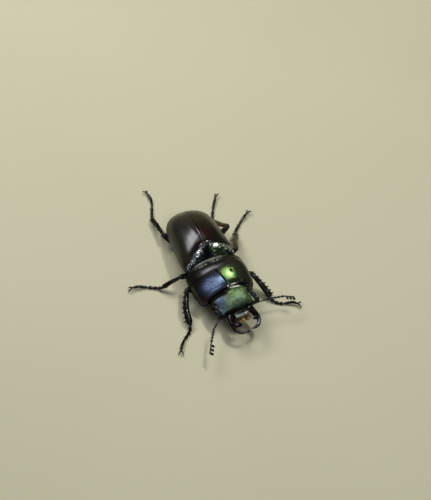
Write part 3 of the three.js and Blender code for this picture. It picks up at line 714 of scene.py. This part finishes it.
headShape = {"temple": 0.1, "ridge": 0.28, "hollow": 0.05, "frontSlope": 0.16, "lumps": 0.32,
             "hindLift": 0.2, "hindBead": 0.1, "knob": 0.2, "knobHalf": 0.3}
# Small knobs beside the eyes, sideways and back in mm from the neck.
knobs = ((-3.1, -2.15), (-2.95, -2.65), (-2.8, -3.1), (-3.15, -3.65),
         (2.5, -1.6), (2.8, -2.4), (2.95, -3.1), (3.35, -3.6))


# A ridge before each eye, lumps behind and before it, a shallow hollow between, and a rounded front.
def headRelief(place):
    across, y, z = abs(place.x), place.y, place.z
    top = ramp(z, 0.1, 0.5)
    height = 0.03 - headShape["hollow"] * hump(math.hypot(across / 1.6, (y + 2.9) / 1.2), 0, 1) * top
    height += headShape["hindLift"] * ramp(y, -2.2, -0.5) * top * (0.3 + 0.7 * ramp(place.x, -0.8, 0.8))
    crest = y - 0.1 + 0.55 * max(0, place.x - 1.2)
    beadEnds = ramp(place.x, 0.1, 0.6) * ramp(place.x, 2.4, 2.0)
    height += headShape["hindBead"] * hump(crest, 0, 0.45) * beadEnds * top
    height += headShape["temple"] * hump(math.hypot(across - 3.3, y + 1.5), 0, 0.6) * ramp(z, -0.2, 0.2)
    height += headShape["ridge"] * hump(across, 3.2, 0.3) * hump(y, -3.4, 0.5) * ramp(z, -0.2, 0.1)
    height += headShape["ridge"] * hump(across, 3.1, 0.25) * hump(y, -2.1, 0.45) * ramp(z, 0, 0.2)
    height -= headShape["frontSlope"] * ramp(y, -3.45, -3.95) * top * ramp(across, 3.3, 2.7)
    lumps = (noise.noise(place * 3.4) + 0.4 * noise.noise(place * 7)) * ramp(across, 2.75, 3.1)
    for x, back in knobs:
        knob = hump(math.hypot(place.x - x, y - back), 0, headShape["knobHalf"])
        height += headShape["knob"] * knob * ramp(z, -0.3, 0)
    return height + headShape["lumps"] * lumps + 0.02 * noise.noise(place * 1.2)


bellyGrooves = (6.6, 7.7, 8.8, 9.9, 11.0)  # in mm behind the waist


# Grooves between the segments of the belly, each with a low fold before it.
def bellyRelief(place):
    height = 0.02
    for back in bellyGrooves:
        height += 0.06 * (hump(place.y, back - 0.14, 0.14) - hump(place.y, back, 0.1))
    return height


bm = plateFrom("pronotum")
shieldMargin = marginOf(bm, "fore", lambda place: place.z > -0.12)
bm.free()
plates = {
    "wingCaseLeft": ("elytron_left", wingBrown, "wing_case", "hind", wingRelief),
    "wingCaseRight": ("elytron_right", wingBrown, "wing_case", "hind", wingRelief),
    "pronotum": ("pronotum", pronotumLook, "pronotum_shell", "fore", shieldRelief),
    "headShell": ("head", headLook, "head_shell", "face", headRelief),
    "abdomen": ("abdomen", underLook, "underside_shell", "hind", bellyRelief),
}
for name, (node, look, slot, stance, relief) in plates.items():
    bm = refined(plateFrom(node), 4)
    if node == "pronotum":  # its finish reads how far a point lies from the edge
        local = inBody(stance)
        margins = bm.verts.layers.float.new("margin")
        for v in bm.verts:
            v[margins] = shieldMargin(local(v.co))
    carve(bm, stance, relief)
    makePiece(name, bm, look, [node], 0)
plainPlates = {
    "scutellum": ("scutellum", legLook, "pronotum_shell"),
    "waist": ("waist", collarLook, "pronotum_shell"),
    "metasternum": ("metasternum", underLook, "underside_shell"),
    "prosternum": ("prosternum", underLook, "underside_shell"),
    "lip": ("labrum", lipLook, "head_shell"),
}
for name, (node, look, slot) in plainPlates.items():
    makePiece(name, plateFrom(node), look, [node], 2)
print("shell plates made")


eyeBall = {"across": 3.25, "forward": 2.7, "height": 0.06, "radii": (0.47, 0.62, 0.47)}


def eye(side, sign):
    bm = bmesh.new()
    centre = onBody("face", sign * eyeBall["across"], -eyeBall["forward"], eyeBall["height"])
    scale = Matrix.Diagonal([radius * mm for radius in eyeBall["radii"]]).to_4x4()
    place = Matrix.Translation(centre) @ turned("face").to_4x4() @ scale
    bmesh.ops.create_uvsphere(bm, u_segments=24, v_segments=16, radius=1, matrix=place)
    makePiece(f"eye{side}", bm, eyeLook, [f"eye_{side.lower()}"], 1)


# Each jaw's middle line seen from above, [sideways, forward] in mm of the neck, its half width and
# height at shares of its length, and its inner tooth.
jaws = {
    "Left": {
        "sign": 1,
        "line": [(1.6, 3.9), (1.68, 4.5), (1.78, 5.2), (1.9, 6.0),
                 (1.78, 6.7), (1.3, 7.35), (0.5, 7.6), (-0.05, 7.5)],
        "half": [(0, 0.45), (0.12, 0.58), (0.3, 0.52), (0.48, 0.4),
                 (0.62, 0.31), (0.8, 0.27), (0.92, 0.17), (1, 0.07)],
        "tooth": [(1.75, 6.1), (1.4, 6.2), (1.05, 6.24)],
        "toothHalf": [(0, 0.42), (0.4, 0.33), (0.7, 0.24), (0.9, 0.15), (1, 0.06)],
    },
    "Right": {
        "sign": -1,
        "line": [(1.6, 3.8), (1.85, 4.6), (2.03, 5.3), (2.2, 6.0),
                 (2.2, 6.7), (1.85, 7.3), (1.15, 7.65), (0.35, 7.8)],
        "half": [(0, 0.5), (0.15, 0.62), (0.35, 0.6), (0.5, 0.42),
                 (0.65, 0.33), (0.8, 0.27), (0.93, 0.18), (1, 0.07)],
        "tooth": [(2.0, 5.75), (1.4, 6.12), (0.82, 6.27)],
        "toothHalf": [(0, 0.5), (0.4, 0.4), (0.7, 0.31), (0.9, 0.21), (1, 0.08)],
    },
}
jawDepth = {"knots": [(0, 0.3), (0.1, 0.4), (0.5, 0.38), (0.7, 0.28), (0.88, 0.2), (1, 0.05)], "lift": 0.12,
            "toothFlat": 0.9}


def jaw(side, sign, line, half, tooth, toothHalf):
    bm = bmesh.new()
    count = 24
    places = smoothLine([onBody("face", sign * x, -y, jawDepth["lift"] * i / (len(line) - 1))
                         for i, (x, y) in enumerate(line)], count)
    shares = [i / (count - 1) for i in range(count)]
    face = turned("face") @ up
    wide = [along(half, s) * mm for s in shares]
    thick = [along(jawDepth["knots"], s) * mm for s in shares]
    sweep(bm, places, wide, thick, 14, face)
    places = smoothLine([onBody("face", sign * x, -y, jawDepth["lift"]) for x, y in tooth], 7)
    sizes = [along(toothHalf, i / 6) * mm for i in range(7)]
    sweep(bm, places, sizes, [size * jawDepth["toothFlat"] for size in sizes], 12, face)
    makePiece(f"jaw{side}", bm, jawLook, [f"mandible_{side.lower()}"], 2)


# The mouth's own feelers: three short joints each, in mm of the neck.
mouthFeeler = {"Left": 0.5, "Right": -0.75, "line": [(1.0, 4.5, -0.7), (1.1, 5.0, -0.66), (1.0, 5.6, -0.7)],
               "joints": 3, "thin": 0.07, "thick": 0.15}


def mouthPalp(side):
    bm = bmesh.new()
    line = [onBody("face", x * mouthFeeler[side], -forward, z) for x, forward, z in mouthFeeler["line"]]
    jointRow(bm, smoothLine(line, mouthFeeler["joints"] + 1), mouthFeeler["thin"], mouthFeeler["thick"])
    makePiece(f"palp{side}", bm, feelerLook, [f"palp_{side.lower()}"], 1)


# A row of joints, each widening towards its far end.
def jointRow(bm, line, thin, thick, sides=10):
    steps = [0, 0.12, 0.45, 0.8, 0.95, 1.03]
    sizes = [value * mm for value in (0.6 * thin, thin, 0.8 * thick, thick, 0.85 * thick, 0.45 * thick)]
    for a, b in zip(line, line[1:]):
        sweep(bm, [a.lerp(b, step) for step in steps], sizes, sizes, sides)


for side, sign in (("Left", 1), ("Right", -1)):
    eye(side, sign)
    jaw(side, **jaws[side])
    mouthPalp(side)
makePiece("mouthBrush", plateFrom("mouth_brush"), brushLook, ["mouth_brush"], 1)
print("head pieces made")


# Bristles are collected as each piece is made: root, direction, length and half width in mm, the
# finish, and the place of the root on an unwrap of its own skin, with one row for each skin.
bristles = {"dark": [], "orange": []}
skins = []


def addBristle(kind, skin, root, direction, length, half, share, turn):
    if skin not in skins:
        skins.append(skin)
    root.z = max(root.z, lowest["hairRoot"] * mm)
    direction = direction.normalized()
    direction.z = max(direction.z, (lowest["hairTip"] * mm - root.z) / (length * mm))
    bristles[kind].append((skin, root, direction.normalized(), length, half, share, turn % 1))


feelers = {
    "scape": [(0, 0.09), (0.15, 0.13), (0.3, 0.1), (0.6, 0.12), (0.85, 0.19), (0.95, 0.17), (1, 0.08)],
    "beads": 6, "beadThin": 0.1, "beadThick": 0.23, "stem": 0.13, "leaves": (0.26, 0.6, 0.94),
    "reach": 0.68, "wide": [(0, 0.14), (0.3, 0.24), (0.7, 0.28), (0.9, 0.22), (1, 0.08)],
    "thick": [(0, 0.1), (0.3, 0.15), (0.7, 0.19), (0.9, 0.15), (1, 0.06)],
    "lastLeaf": 1.2, "leafHairs": 14, "hair": (0.08, 0.16), "hairHalf": 0.012,
    "Left": {"sign": 1, "club": (1.32, -0.67, -0.05)}, "Right": {"sign": -1, "club": (-1.09, -1.7, -0.08)},
}


def antenna(side):
    look = feelers
    feeler = f"antenna_{side.lower()}"
    scapeNode, funicleNode, clubNode = (f"{feeler}_{part}" for part in ("scape", "funicle", "club"))
    scapeLine = middleLine(scapeNode, middle("head"), (0.03, 0.35, 0.65, 0.97))
    funicleLine = middleLine(funicleNode, scapeLine[-1], (0.02, 0.3, 0.6, 0.98))
    bm = bmesh.new()
    sizes = [along(look["scape"], i / 10) * mm for i in range(11)]
    sweep(bm, smoothLine(scapeLine, 11), sizes, sizes)
    makePiece(f"scape{side}", bm, feelerLook, [scapeNode], 1)
    bm = bmesh.new()
    line = smoothLine([scapeLine[-1]] + funicleLine, look["beads"] + 1)
    jointRow(bm, line, look["beadThin"], look["beadThick"])
    makePiece(f"funicle{side}", bm, feelerLook, [funicleNode], 1)
    root = funicleLine[-1]
    stem = Vector(look[side]["club"]) * mm
    ahead = stem.normalized()
    inward = Vector((ahead.y, -ahead.x, 0)) * look[side]["sign"] + ahead * 0.2
    bm = bmesh.new()
    stemHalf = look["stem"] * mm
    sweep(bm, [root + stem * share for share in (0, 0.3, 0.6, 0.9, 1.02)], [stemHalf] * 4 + [stemHalf / 2],
          [stemHalf] * 4 + [stemHalf / 2])
    for number, share in enumerate(look["leaves"]):
        base = root + stem * share - inward * 0.1 * mm
        line = [base + inward * look["reach"] * mm * i / 6 + ahead * 0.03 * mm * i for i in range(7)]
        last = look["lastLeaf"] if number == len(look["leaves"]) - 1 else 1
        sweep(bm, line, [along(look["thick"], i / 6) * mm * last for i in range(7)],
              [along(look["wide"], i / 6) * mm for i in range(7)])
        for k in range(look["leafHairs"]):
            spot = base.lerp(line[-1], dice.uniform(0.3, 1.0))
            out = inward * dice.uniform(0.2, 1) + ahead * dice.uniform(-0.6, 1)
            out = (out + up * dice.uniform(-1, 1)).normalized()
            addBristle("dark", clubNode, spot + out * 0.14 * mm, out, dice.uniform(*look["hair"]),
                       look["hairHalf"], share, k / look["leafHairs"])
    makePiece(f"club{side}", bm, feelerLook, [clubNode], 1)


antenna("Left")
antenna("Right")
print("feelers made")


femurShape = {
    "wide": [(0, 0.22), (0.12, 0.38), (0.4, 0.5), (0.62, 0.5), (0.85, 0.45), (0.94, 0.4), (1, 0.2)],
    "thick": [(0, 0.22), (0.12, 0.34), (0.5, 0.42), (0.85, 0.4), (0.94, 0.36), (1, 0.2)],
}
shinShapes = {
    "front": {
        "wide": [(0, 0.18), (0.05, 0.34), (0.14, 0.32), (0.5, 0.47), (0.88, 0.57), (0.96, 0.48), (1, 0.24)],
        "thick": [(0, 0.18), (0.05, 0.32), (0.15, 0.28), (0.5, 0.36), (0.88, 0.42), (0.96, 0.36), (1, 0.2)],
        "teeth": (0.14, 0.24, 0.34, 0.45, 0.56, 0.67, 0.78, 0.9), "tooth": 0.42, "toothHalf": 0.17,
    },
    "other": {
        "wide": [(0, 0.16), (0.05, 0.3), (0.15, 0.27), (0.5, 0.36), (0.85, 0.43), (0.96, 0.38), (1, 0.22)],
        "thick": [(0, 0.16), (0.05, 0.28), (0.15, 0.25), (0.5, 0.32), (0.85, 0.38), (0.96, 0.34), (1, 0.2)],
        "teeth": (0.42, 0.66), "tooth": 0.3, "toothHalf": 0.1,
    },
}
toeShape = {"ends": (0, 0.15, 0.3, 0.45, 0.6, 1.0), "thin": 0.21, "thick": 0.29, "last": 0.25}
clawShape = {"half": [(0, 0.17), (0.4, 0.14), (0.8, 0.09), (1, 0.02)], "arch": 0.3}
stout = {"middle_left": 1.28, "hind_left": 1.15}  # shins that are stouter than the others
innerSpines = {"middle_left": (0.4, 0.58), "length": 0.5, "half": 0.12}
endSpurs = {"set": ((1, 0.46), (-0.9, 0.55), (0.1, 0.36)), "half": 0.09}  # how far outwards, and length
hairs = {"shin": 46, "toe": 12, "length": (0.16, 0.34), "half": 0.018, "unevenness": 0.14}


def limbSizes(shape, count):
    return ([along(shape[key], i / (count - 1)) * mm for i in range(count)] for key in ("wide", "thick"))


def shin(place, node, line, outward, look):
    shape = shinShapes["front" if place == "front" else "other"]
    count = 22
    bm = bmesh.new()
    ahead = (line[-1] - line[0]).normalized()
    places = smoothLine(line, count)
    limb = node[len("leg_"):-len("_tibia")]
    factor = stout.get(limb, 1)
    wide, thick = ([size * factor for size in sizes] for sizes in limbSizes(shape, count))
    sweep(bm, places, wide, thick, 12)
    for share in innerSpines.get(limb, ()):
        spot = places[round(share * (count - 1))] - outward * wide[0] * 1.6
        spine(bm, spot, -outward, ahead, innerSpines["length"] * mm, innerSpines["half"] * mm)
    unsettle(bm, hairs["unevenness"])
    for share in shape["teeth"]:
        at = share * (count - 1)
        spot = places[int(at)].lerp(places[int(at) + 1], at % 1)
        spot += outward * along(shape["wide"], share) * mm * 0.8
        size = shape["tooth"] * (0.75 + 0.35 * share) * dice.uniform(0.8, 1.15)
        lean = (outward + up * dice.uniform(-0.1, 0.4)).normalized()
        spine(bm, spot, lean, ahead, size * mm, shape["toothHalf"] * mm)
    for turn, size in endSpurs["set"]:
        spot = places[-3] + outward * turn * 0.3 * mm
        lean = (ahead + outward * 0.45 * turn).normalized()
        spine(bm, spot, lean, ahead, size * mm, endSpurs["half"] * mm)
    for k in range(hairs["shin"]):
        share = dice.uniform(0.08, 0.98)
        i = int(share * (count - 1))
        angle = dice.uniform(0, 2 * math.pi)
        out = outward * math.cos(angle) + up * math.sin(angle)
        root = places[i] + outward * math.cos(angle) * wide[i] * 0.96
        root += up * math.sin(angle) * thick[i] * 0.9
        lean = (out + ahead * dice.uniform(0.8, 1.6)).normalized()
        addBristle("dark", node, root, lean, dice.uniform(*hairs["length"]), hairs["half"], share,
                   angle / (2 * math.pi))
    makePiece(node.replace("leg_", "shin_"), bm, look, [node], 1)


def foot(node, line, look):
    bm = bmesh.new()
    fine = smoothLine(line, 41)
    for begin, end in zip(toeShape["ends"], toeShape["ends"][1:]):
        places = smoothLine(fine[round(begin * 40):round(end * 40) + 1], 7)
        size = (toeShape["thick"] if end < 1 else toeShape["last"]) * mm
        thin = toeShape["thin"] * mm
        sizes = [0.6 * thin, thin, 0.5 * (thin + size), 0.9 * size, size, 0.95 * size, 0.5 * size]
        sweep(bm, places, sizes, sizes, 10)
        ahead = (places[-1] - places[0]).normalized()
        side = ahead.cross(up).normalized()
        for k in range(hairs["toe"]):
            share = dice.uniform(0.45, 0.95) if end < 1 else dice.uniform(0.1, 0.9)
            angle = dice.uniform(-0.2, 1.2) * math.pi
            out = side * math.cos(angle) - up * math.sin(angle)
            root = places[0].lerp(places[-1], share) + out * size * 0.85
            lean = (out * 0.9 + ahead * dice.uniform(0.3, 1.1)).normalized()
            addBristle("dark", node, root, lean, dice.uniform(*hairs["length"]) * 0.9, hairs["half"],
                       begin + (end - begin) * share, angle / (2 * math.pi))
    makePiece(node.replace("leg_", "foot_"), bm, look, [node], 1)


# Two curved claws, from the last toe joint to the two tips of the CAD claws.
def claws(node, root):
    spots = [v.co.copy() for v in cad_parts[node].data.vertices]
    first = max(spots, key=lambda p: (p - root).length)
    second = max(spots, key=lambda p: (p - root).length + (p - first).length)
    bm = bmesh.new()
    count = 8
    for tip in (first, second):
        knuckle = root.lerp(tip, 0.5) + up * clawShape["arch"] * mm
        line = smoothLine([root, knuckle, tip], count)
        sizes = [along(clawShape["half"], i / (count - 1)) * mm for i in range(count)]
        sweep(bm, line, sizes, sizes, 8)
    makePiece(node.replace("leg_", ""), bm, clawLook, [node], 1)


def leg(place, side):
    name = f"leg_{place}_{side}"
    body = Vector((middle("metasternum").x, middle(f"{name}_coxa").y, middle(f"{name}_coxa").z))
    femurLine = middleLine(f"{name}_femur", body, (0.02, 0.25, 0.5, 0.75, 0.97))
    shinLine = middleLine(f"{name}_tibia", femurLine[-1], (0.04, 0.3, 0.55, 0.8, 0.97))
    toes = middleLine(f"{name}_tarsus", shinLine[-1], (0.03, 0.16, 0.3, 0.45, 0.6, 0.8, 0.97))
    ahead = (shinLine[-1] - shinLine[0]).normalized()
    outward = Vector((shinLine[0].x - body.x, 0, 0)).normalized()
    outward -= ahead * outward.dot(ahead)
    outward.z = 0
    outward.normalize()
    bm = bmesh.new()
    count = 16
    knee = femurLine[-1].lerp(shinLine[0], 0.5)
    sweep(bm, smoothLine(femurLine + [knee], count), *limbSizes(femurShape, count), 12)
    unsettle(bm, hairs["unevenness"] / 2)
    makePiece(f"femur_{place}_{side}", bm, legLook, [f"{name}_femur"], 1)
    olive = side == "left" and place != "front"
    shin(place, f"{name}_tibia", [femurLine[-1]] + shinLine, outward, legBrown if olive else legLook)
    foot(f"{name}_tarsus", [shinLine[-1]] + toes, legLook)
    claws(f"{name}_claws", toes[-1])
    makePiece(f"coxa_{place}_{side}", plateFrom(f"{name}_coxa"), legLook, [f"{name}_coxa"], 2)


for place in ("front", "middle", "hind"):
    for side in ("left", "right"):
        leg(place, side)
print("legs made")


brush = {"hairs": 170, "length": (0.25, 0.6), "half": 0.02}
lipFringe = {"hairs": 36, "length": (0.12, 0.26), "half": 0.012}
collarFringe = {"hairs": 70, "length": (0.12, 0.25), "half": 0.012}


# Orange hairs under the lip, and short dark ones along the lip and in the neck's groove.
def mouthHair():
    centre = middle("mouth_brush")
    low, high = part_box("mouth_brush")
    half = (high - low) / 2
    for k in range(brush["hairs"]):
        turn = dice.uniform(0, 2 * math.pi)
        tilt = dice.uniform(-0.9, 0.9)
        out = Vector((math.cos(turn) * math.cos(tilt), math.sin(turn) * math.cos(tilt), math.sin(tilt)))
        root = centre + Vector(out[i] * half[i] * 0.8 for i in range(3))
        aside = dice.uniform(-1, 1)
        root += turned("face") @ Vector((aside * mm, 0.3 * aside * aside * mm, 0))
        forward = turned("face") @ Vector((0.5 * aside, -1, 0))
        addBristle("orange", "mouth_brush", root, out * 0.6 + forward, dice.uniform(*brush["length"]),
                   brush["half"], 0.5 + tilt / math.pi, turn / (2 * math.pi))
    for k in range(lipFringe["hairs"]):
        share = (k + 0.5) / lipFringe["hairs"]
        root = onBody("face", 2.4 * (share - 0.5), -4.93 - 0.12 * math.sin(math.pi * share), 0.1)
        out = turned("face") @ Vector((dice.uniform(-0.3, 0.3), -1, dice.uniform(-0.5, 0)))
        addBristle("dark", "labrum", root, out, dice.uniform(*lipFringe["length"]), lipFringe["half"],
                   share, 0.25)
    for k in range(collarFringe["hairs"]):
        share = (k + 0.5) / collarFringe["hairs"]
        angle = math.pi * share
        root = onBody("fore", 3.9 * math.cos(angle), -0.3, 0.3 + 1.45 * math.sin(angle))
        back = dice.uniform(0.2, 0.9)
        out = turned("fore") @ Vector((0.4 * math.cos(angle), back, 0.5 + 0.5 * math.sin(angle)))
        addBristle("dark", "pronotum", root, out, dice.uniform(*collarFringe["length"]),
                   collarFringe["half"], share, 0.1)


# Every bristle is a thin closed cone. Its own small patch of the bake map lies at its root's place.
def growBristles(name, kind, look):
    bm = bmesh.new()
    bake = bm.loops.layers.uv.new("OFBake")
    patchSize = 0.003
    for skin, root, direction, length, half, share, turn in bristles[kind]:
        stand = direction.to_track_quat("Z", "Y").to_matrix().to_4x4()
        place = Matrix.Translation(root + direction * length * mm * 0.45) @ stand
        verts = bmesh.ops.create_cone(bm, cap_ends=True, segments=3, radius1=half * mm,
                                      radius2=half * mm * 0.2, depth=length * mm, matrix=place)["verts"]
        row = (skins.index(skin) + 0.1 + 0.8 * turn) / len(skins)
        column = 0.02 + 0.95 * share
        for face in {f for v in verts for f in v.link_faces}:
            for number, loop in enumerate(face.loops):
                loop[bake].uv = (column + patchSize * (number % 2), row + patchSize * (number // 2))
    makePiece(name, bm, look, [], 0)


mouthHair()
growBristles("bristles", "dark", bristleLook)
growBristles("mouthHair", "orange", brushLook)
print("bristles made")


floorLook = {"light": (0.56, 0.53, 0.37), "dark": (0.52, 0.49, 0.34), "patches": 40, "half": 2.0}
air = {"colour": (0.85, 0.9, 1.0), "strength": 0.04}


def studio():
    material, tree, surface = shell("pale floor", 0.75, 0.2)
    shade = grain(tree, bodySpace(tree, "level")[0], floorLook["patches"], 2.0)
    tree.links.new(blend(tree, shade, floorLook["dark"], floorLook["light"]), surface.inputs["Base Color"])
    bm = bmesh.new()
    bmesh.ops.create_grid(bm, x_segments=1, y_segments=1, size=floorLook["half"])
    mesh = bpy.data.meshes.new("floor")
    bm.to_mesh(mesh)
    bm.free()
    mesh.materials.append(material)
    link("floor", mesh)
    world = bpy.data.worlds.new("studio")
    world.use_nodes = True
    world.node_tree.nodes["Background"].inputs["Color"].default_value = (*air["colour"], 1)
    world.node_tree.nodes["Background"].inputs["Strength"].default_value = air["strength"]
    bpy.context.scene.world = world
    bpy.context.scene.view_settings.view_transform = "Standard"


# Soft lamps: the direction each shines from, its width across the beetle and its height along it in mm,
# how many degrees it is rolled over to its left, how far off it stands, and its power.
lamps = {
    "behind": {"towards": (0.047, 0.706, 0.706), "wide": 92, "tall": 76, "roll": 8, "far": 260, "power": 0.18,
               "colour": (0.96, 0.98, 1.0)},
    "behindSoft": {"towards": (-0.281, 0.630, 0.724), "wide": 102, "tall": 106, "roll": 18, "far": 262,
                   "power": 0.26, "colour": (0.96, 0.98, 1.0)},
    "overhead": {"towards": (-0.251, -0.387, 0.887), "wide": 240, "tall": 270, "roll": 0, "far": 265,
                 "power": 0.085, "colour": (0.97, 0.98, 1.0)},
    "key": {"towards": (0.355, 0.05, 0.934), "wide": 42, "tall": 96, "roll": 0, "far": 255, "power": 0.18,
            "colour": (1.0, 1.0, 0.96)},
    "spark": {"towards": (0.36, 0.06, 0.93), "wide": 13, "tall": 13, "roll": 0, "far": 250, "power": 0.09,
              "colour": (1.0, 1.0, 1.0)},
    "sky": {"towards": (-0.05, -0.67, 0.74), "wide": 90, "tall": 30, "roll": 0, "far": 250, "power": 0.07,
            "colour": (0.8, 0.9, 1.0)},
}


def light(name, towards, wide, tall, roll, far, power, colour):
    lamp = bpy.data.lights.new(name, "AREA")
    lamp.shape = "RECTANGLE"
    lamp.size = wide * mm
    lamp.size_y = tall * mm
    lamp.energy = power
    lamp.color = colour
    thing = link(name, lamp)
    out = Vector(towards).normalized()
    rear = Vector((0, 1, 0))
    rear = Matrix.Rotation(math.radians(roll), 3, out) @ (rear - out * rear.dot(out)).normalized()
    thing.rotation_euler = Matrix((rear.cross(out), rear, out)).transposed().to_euler()
    thing.location = waist + out * far * mm


# Where the camera stands: the way back to it, its right, and its distance and aim in mm from the waist.
view = {"back": (-0.30957, -0.53866, 0.78359), "right": (0.89643, -0.44017, 0.05156), "far": 190.0,
        "aim": (0.0, -0.275, -3.2), "lens": 87.0, "sensor": 36.0, "shift": (0.0099, 0.0588)}


def camera():
    lens = bpy.data.cameras.new("camera")
    lens.sensor_width = view["sensor"]
    lens.lens = view["lens"]
    lens.shift_x, lens.shift_y = view["shift"]
    lens.clip_start = 0.001
    thing = link("camera", lens)
    back = Vector(view["back"]).normalized()
    right = Vector(view["right"])
    right = (right - back * right.dot(back)).normalized()
    thing.rotation_euler = Matrix((right, back.cross(right), back)).transposed().to_euler()
    thing.location = waist + (Vector(view["aim"]) + back * view["far"]) * mm
    bpy.context.scene.camera = thing


studio()
for name, lamp in lamps.items():
    light(name, **lamp)
camera()
print("studio made")
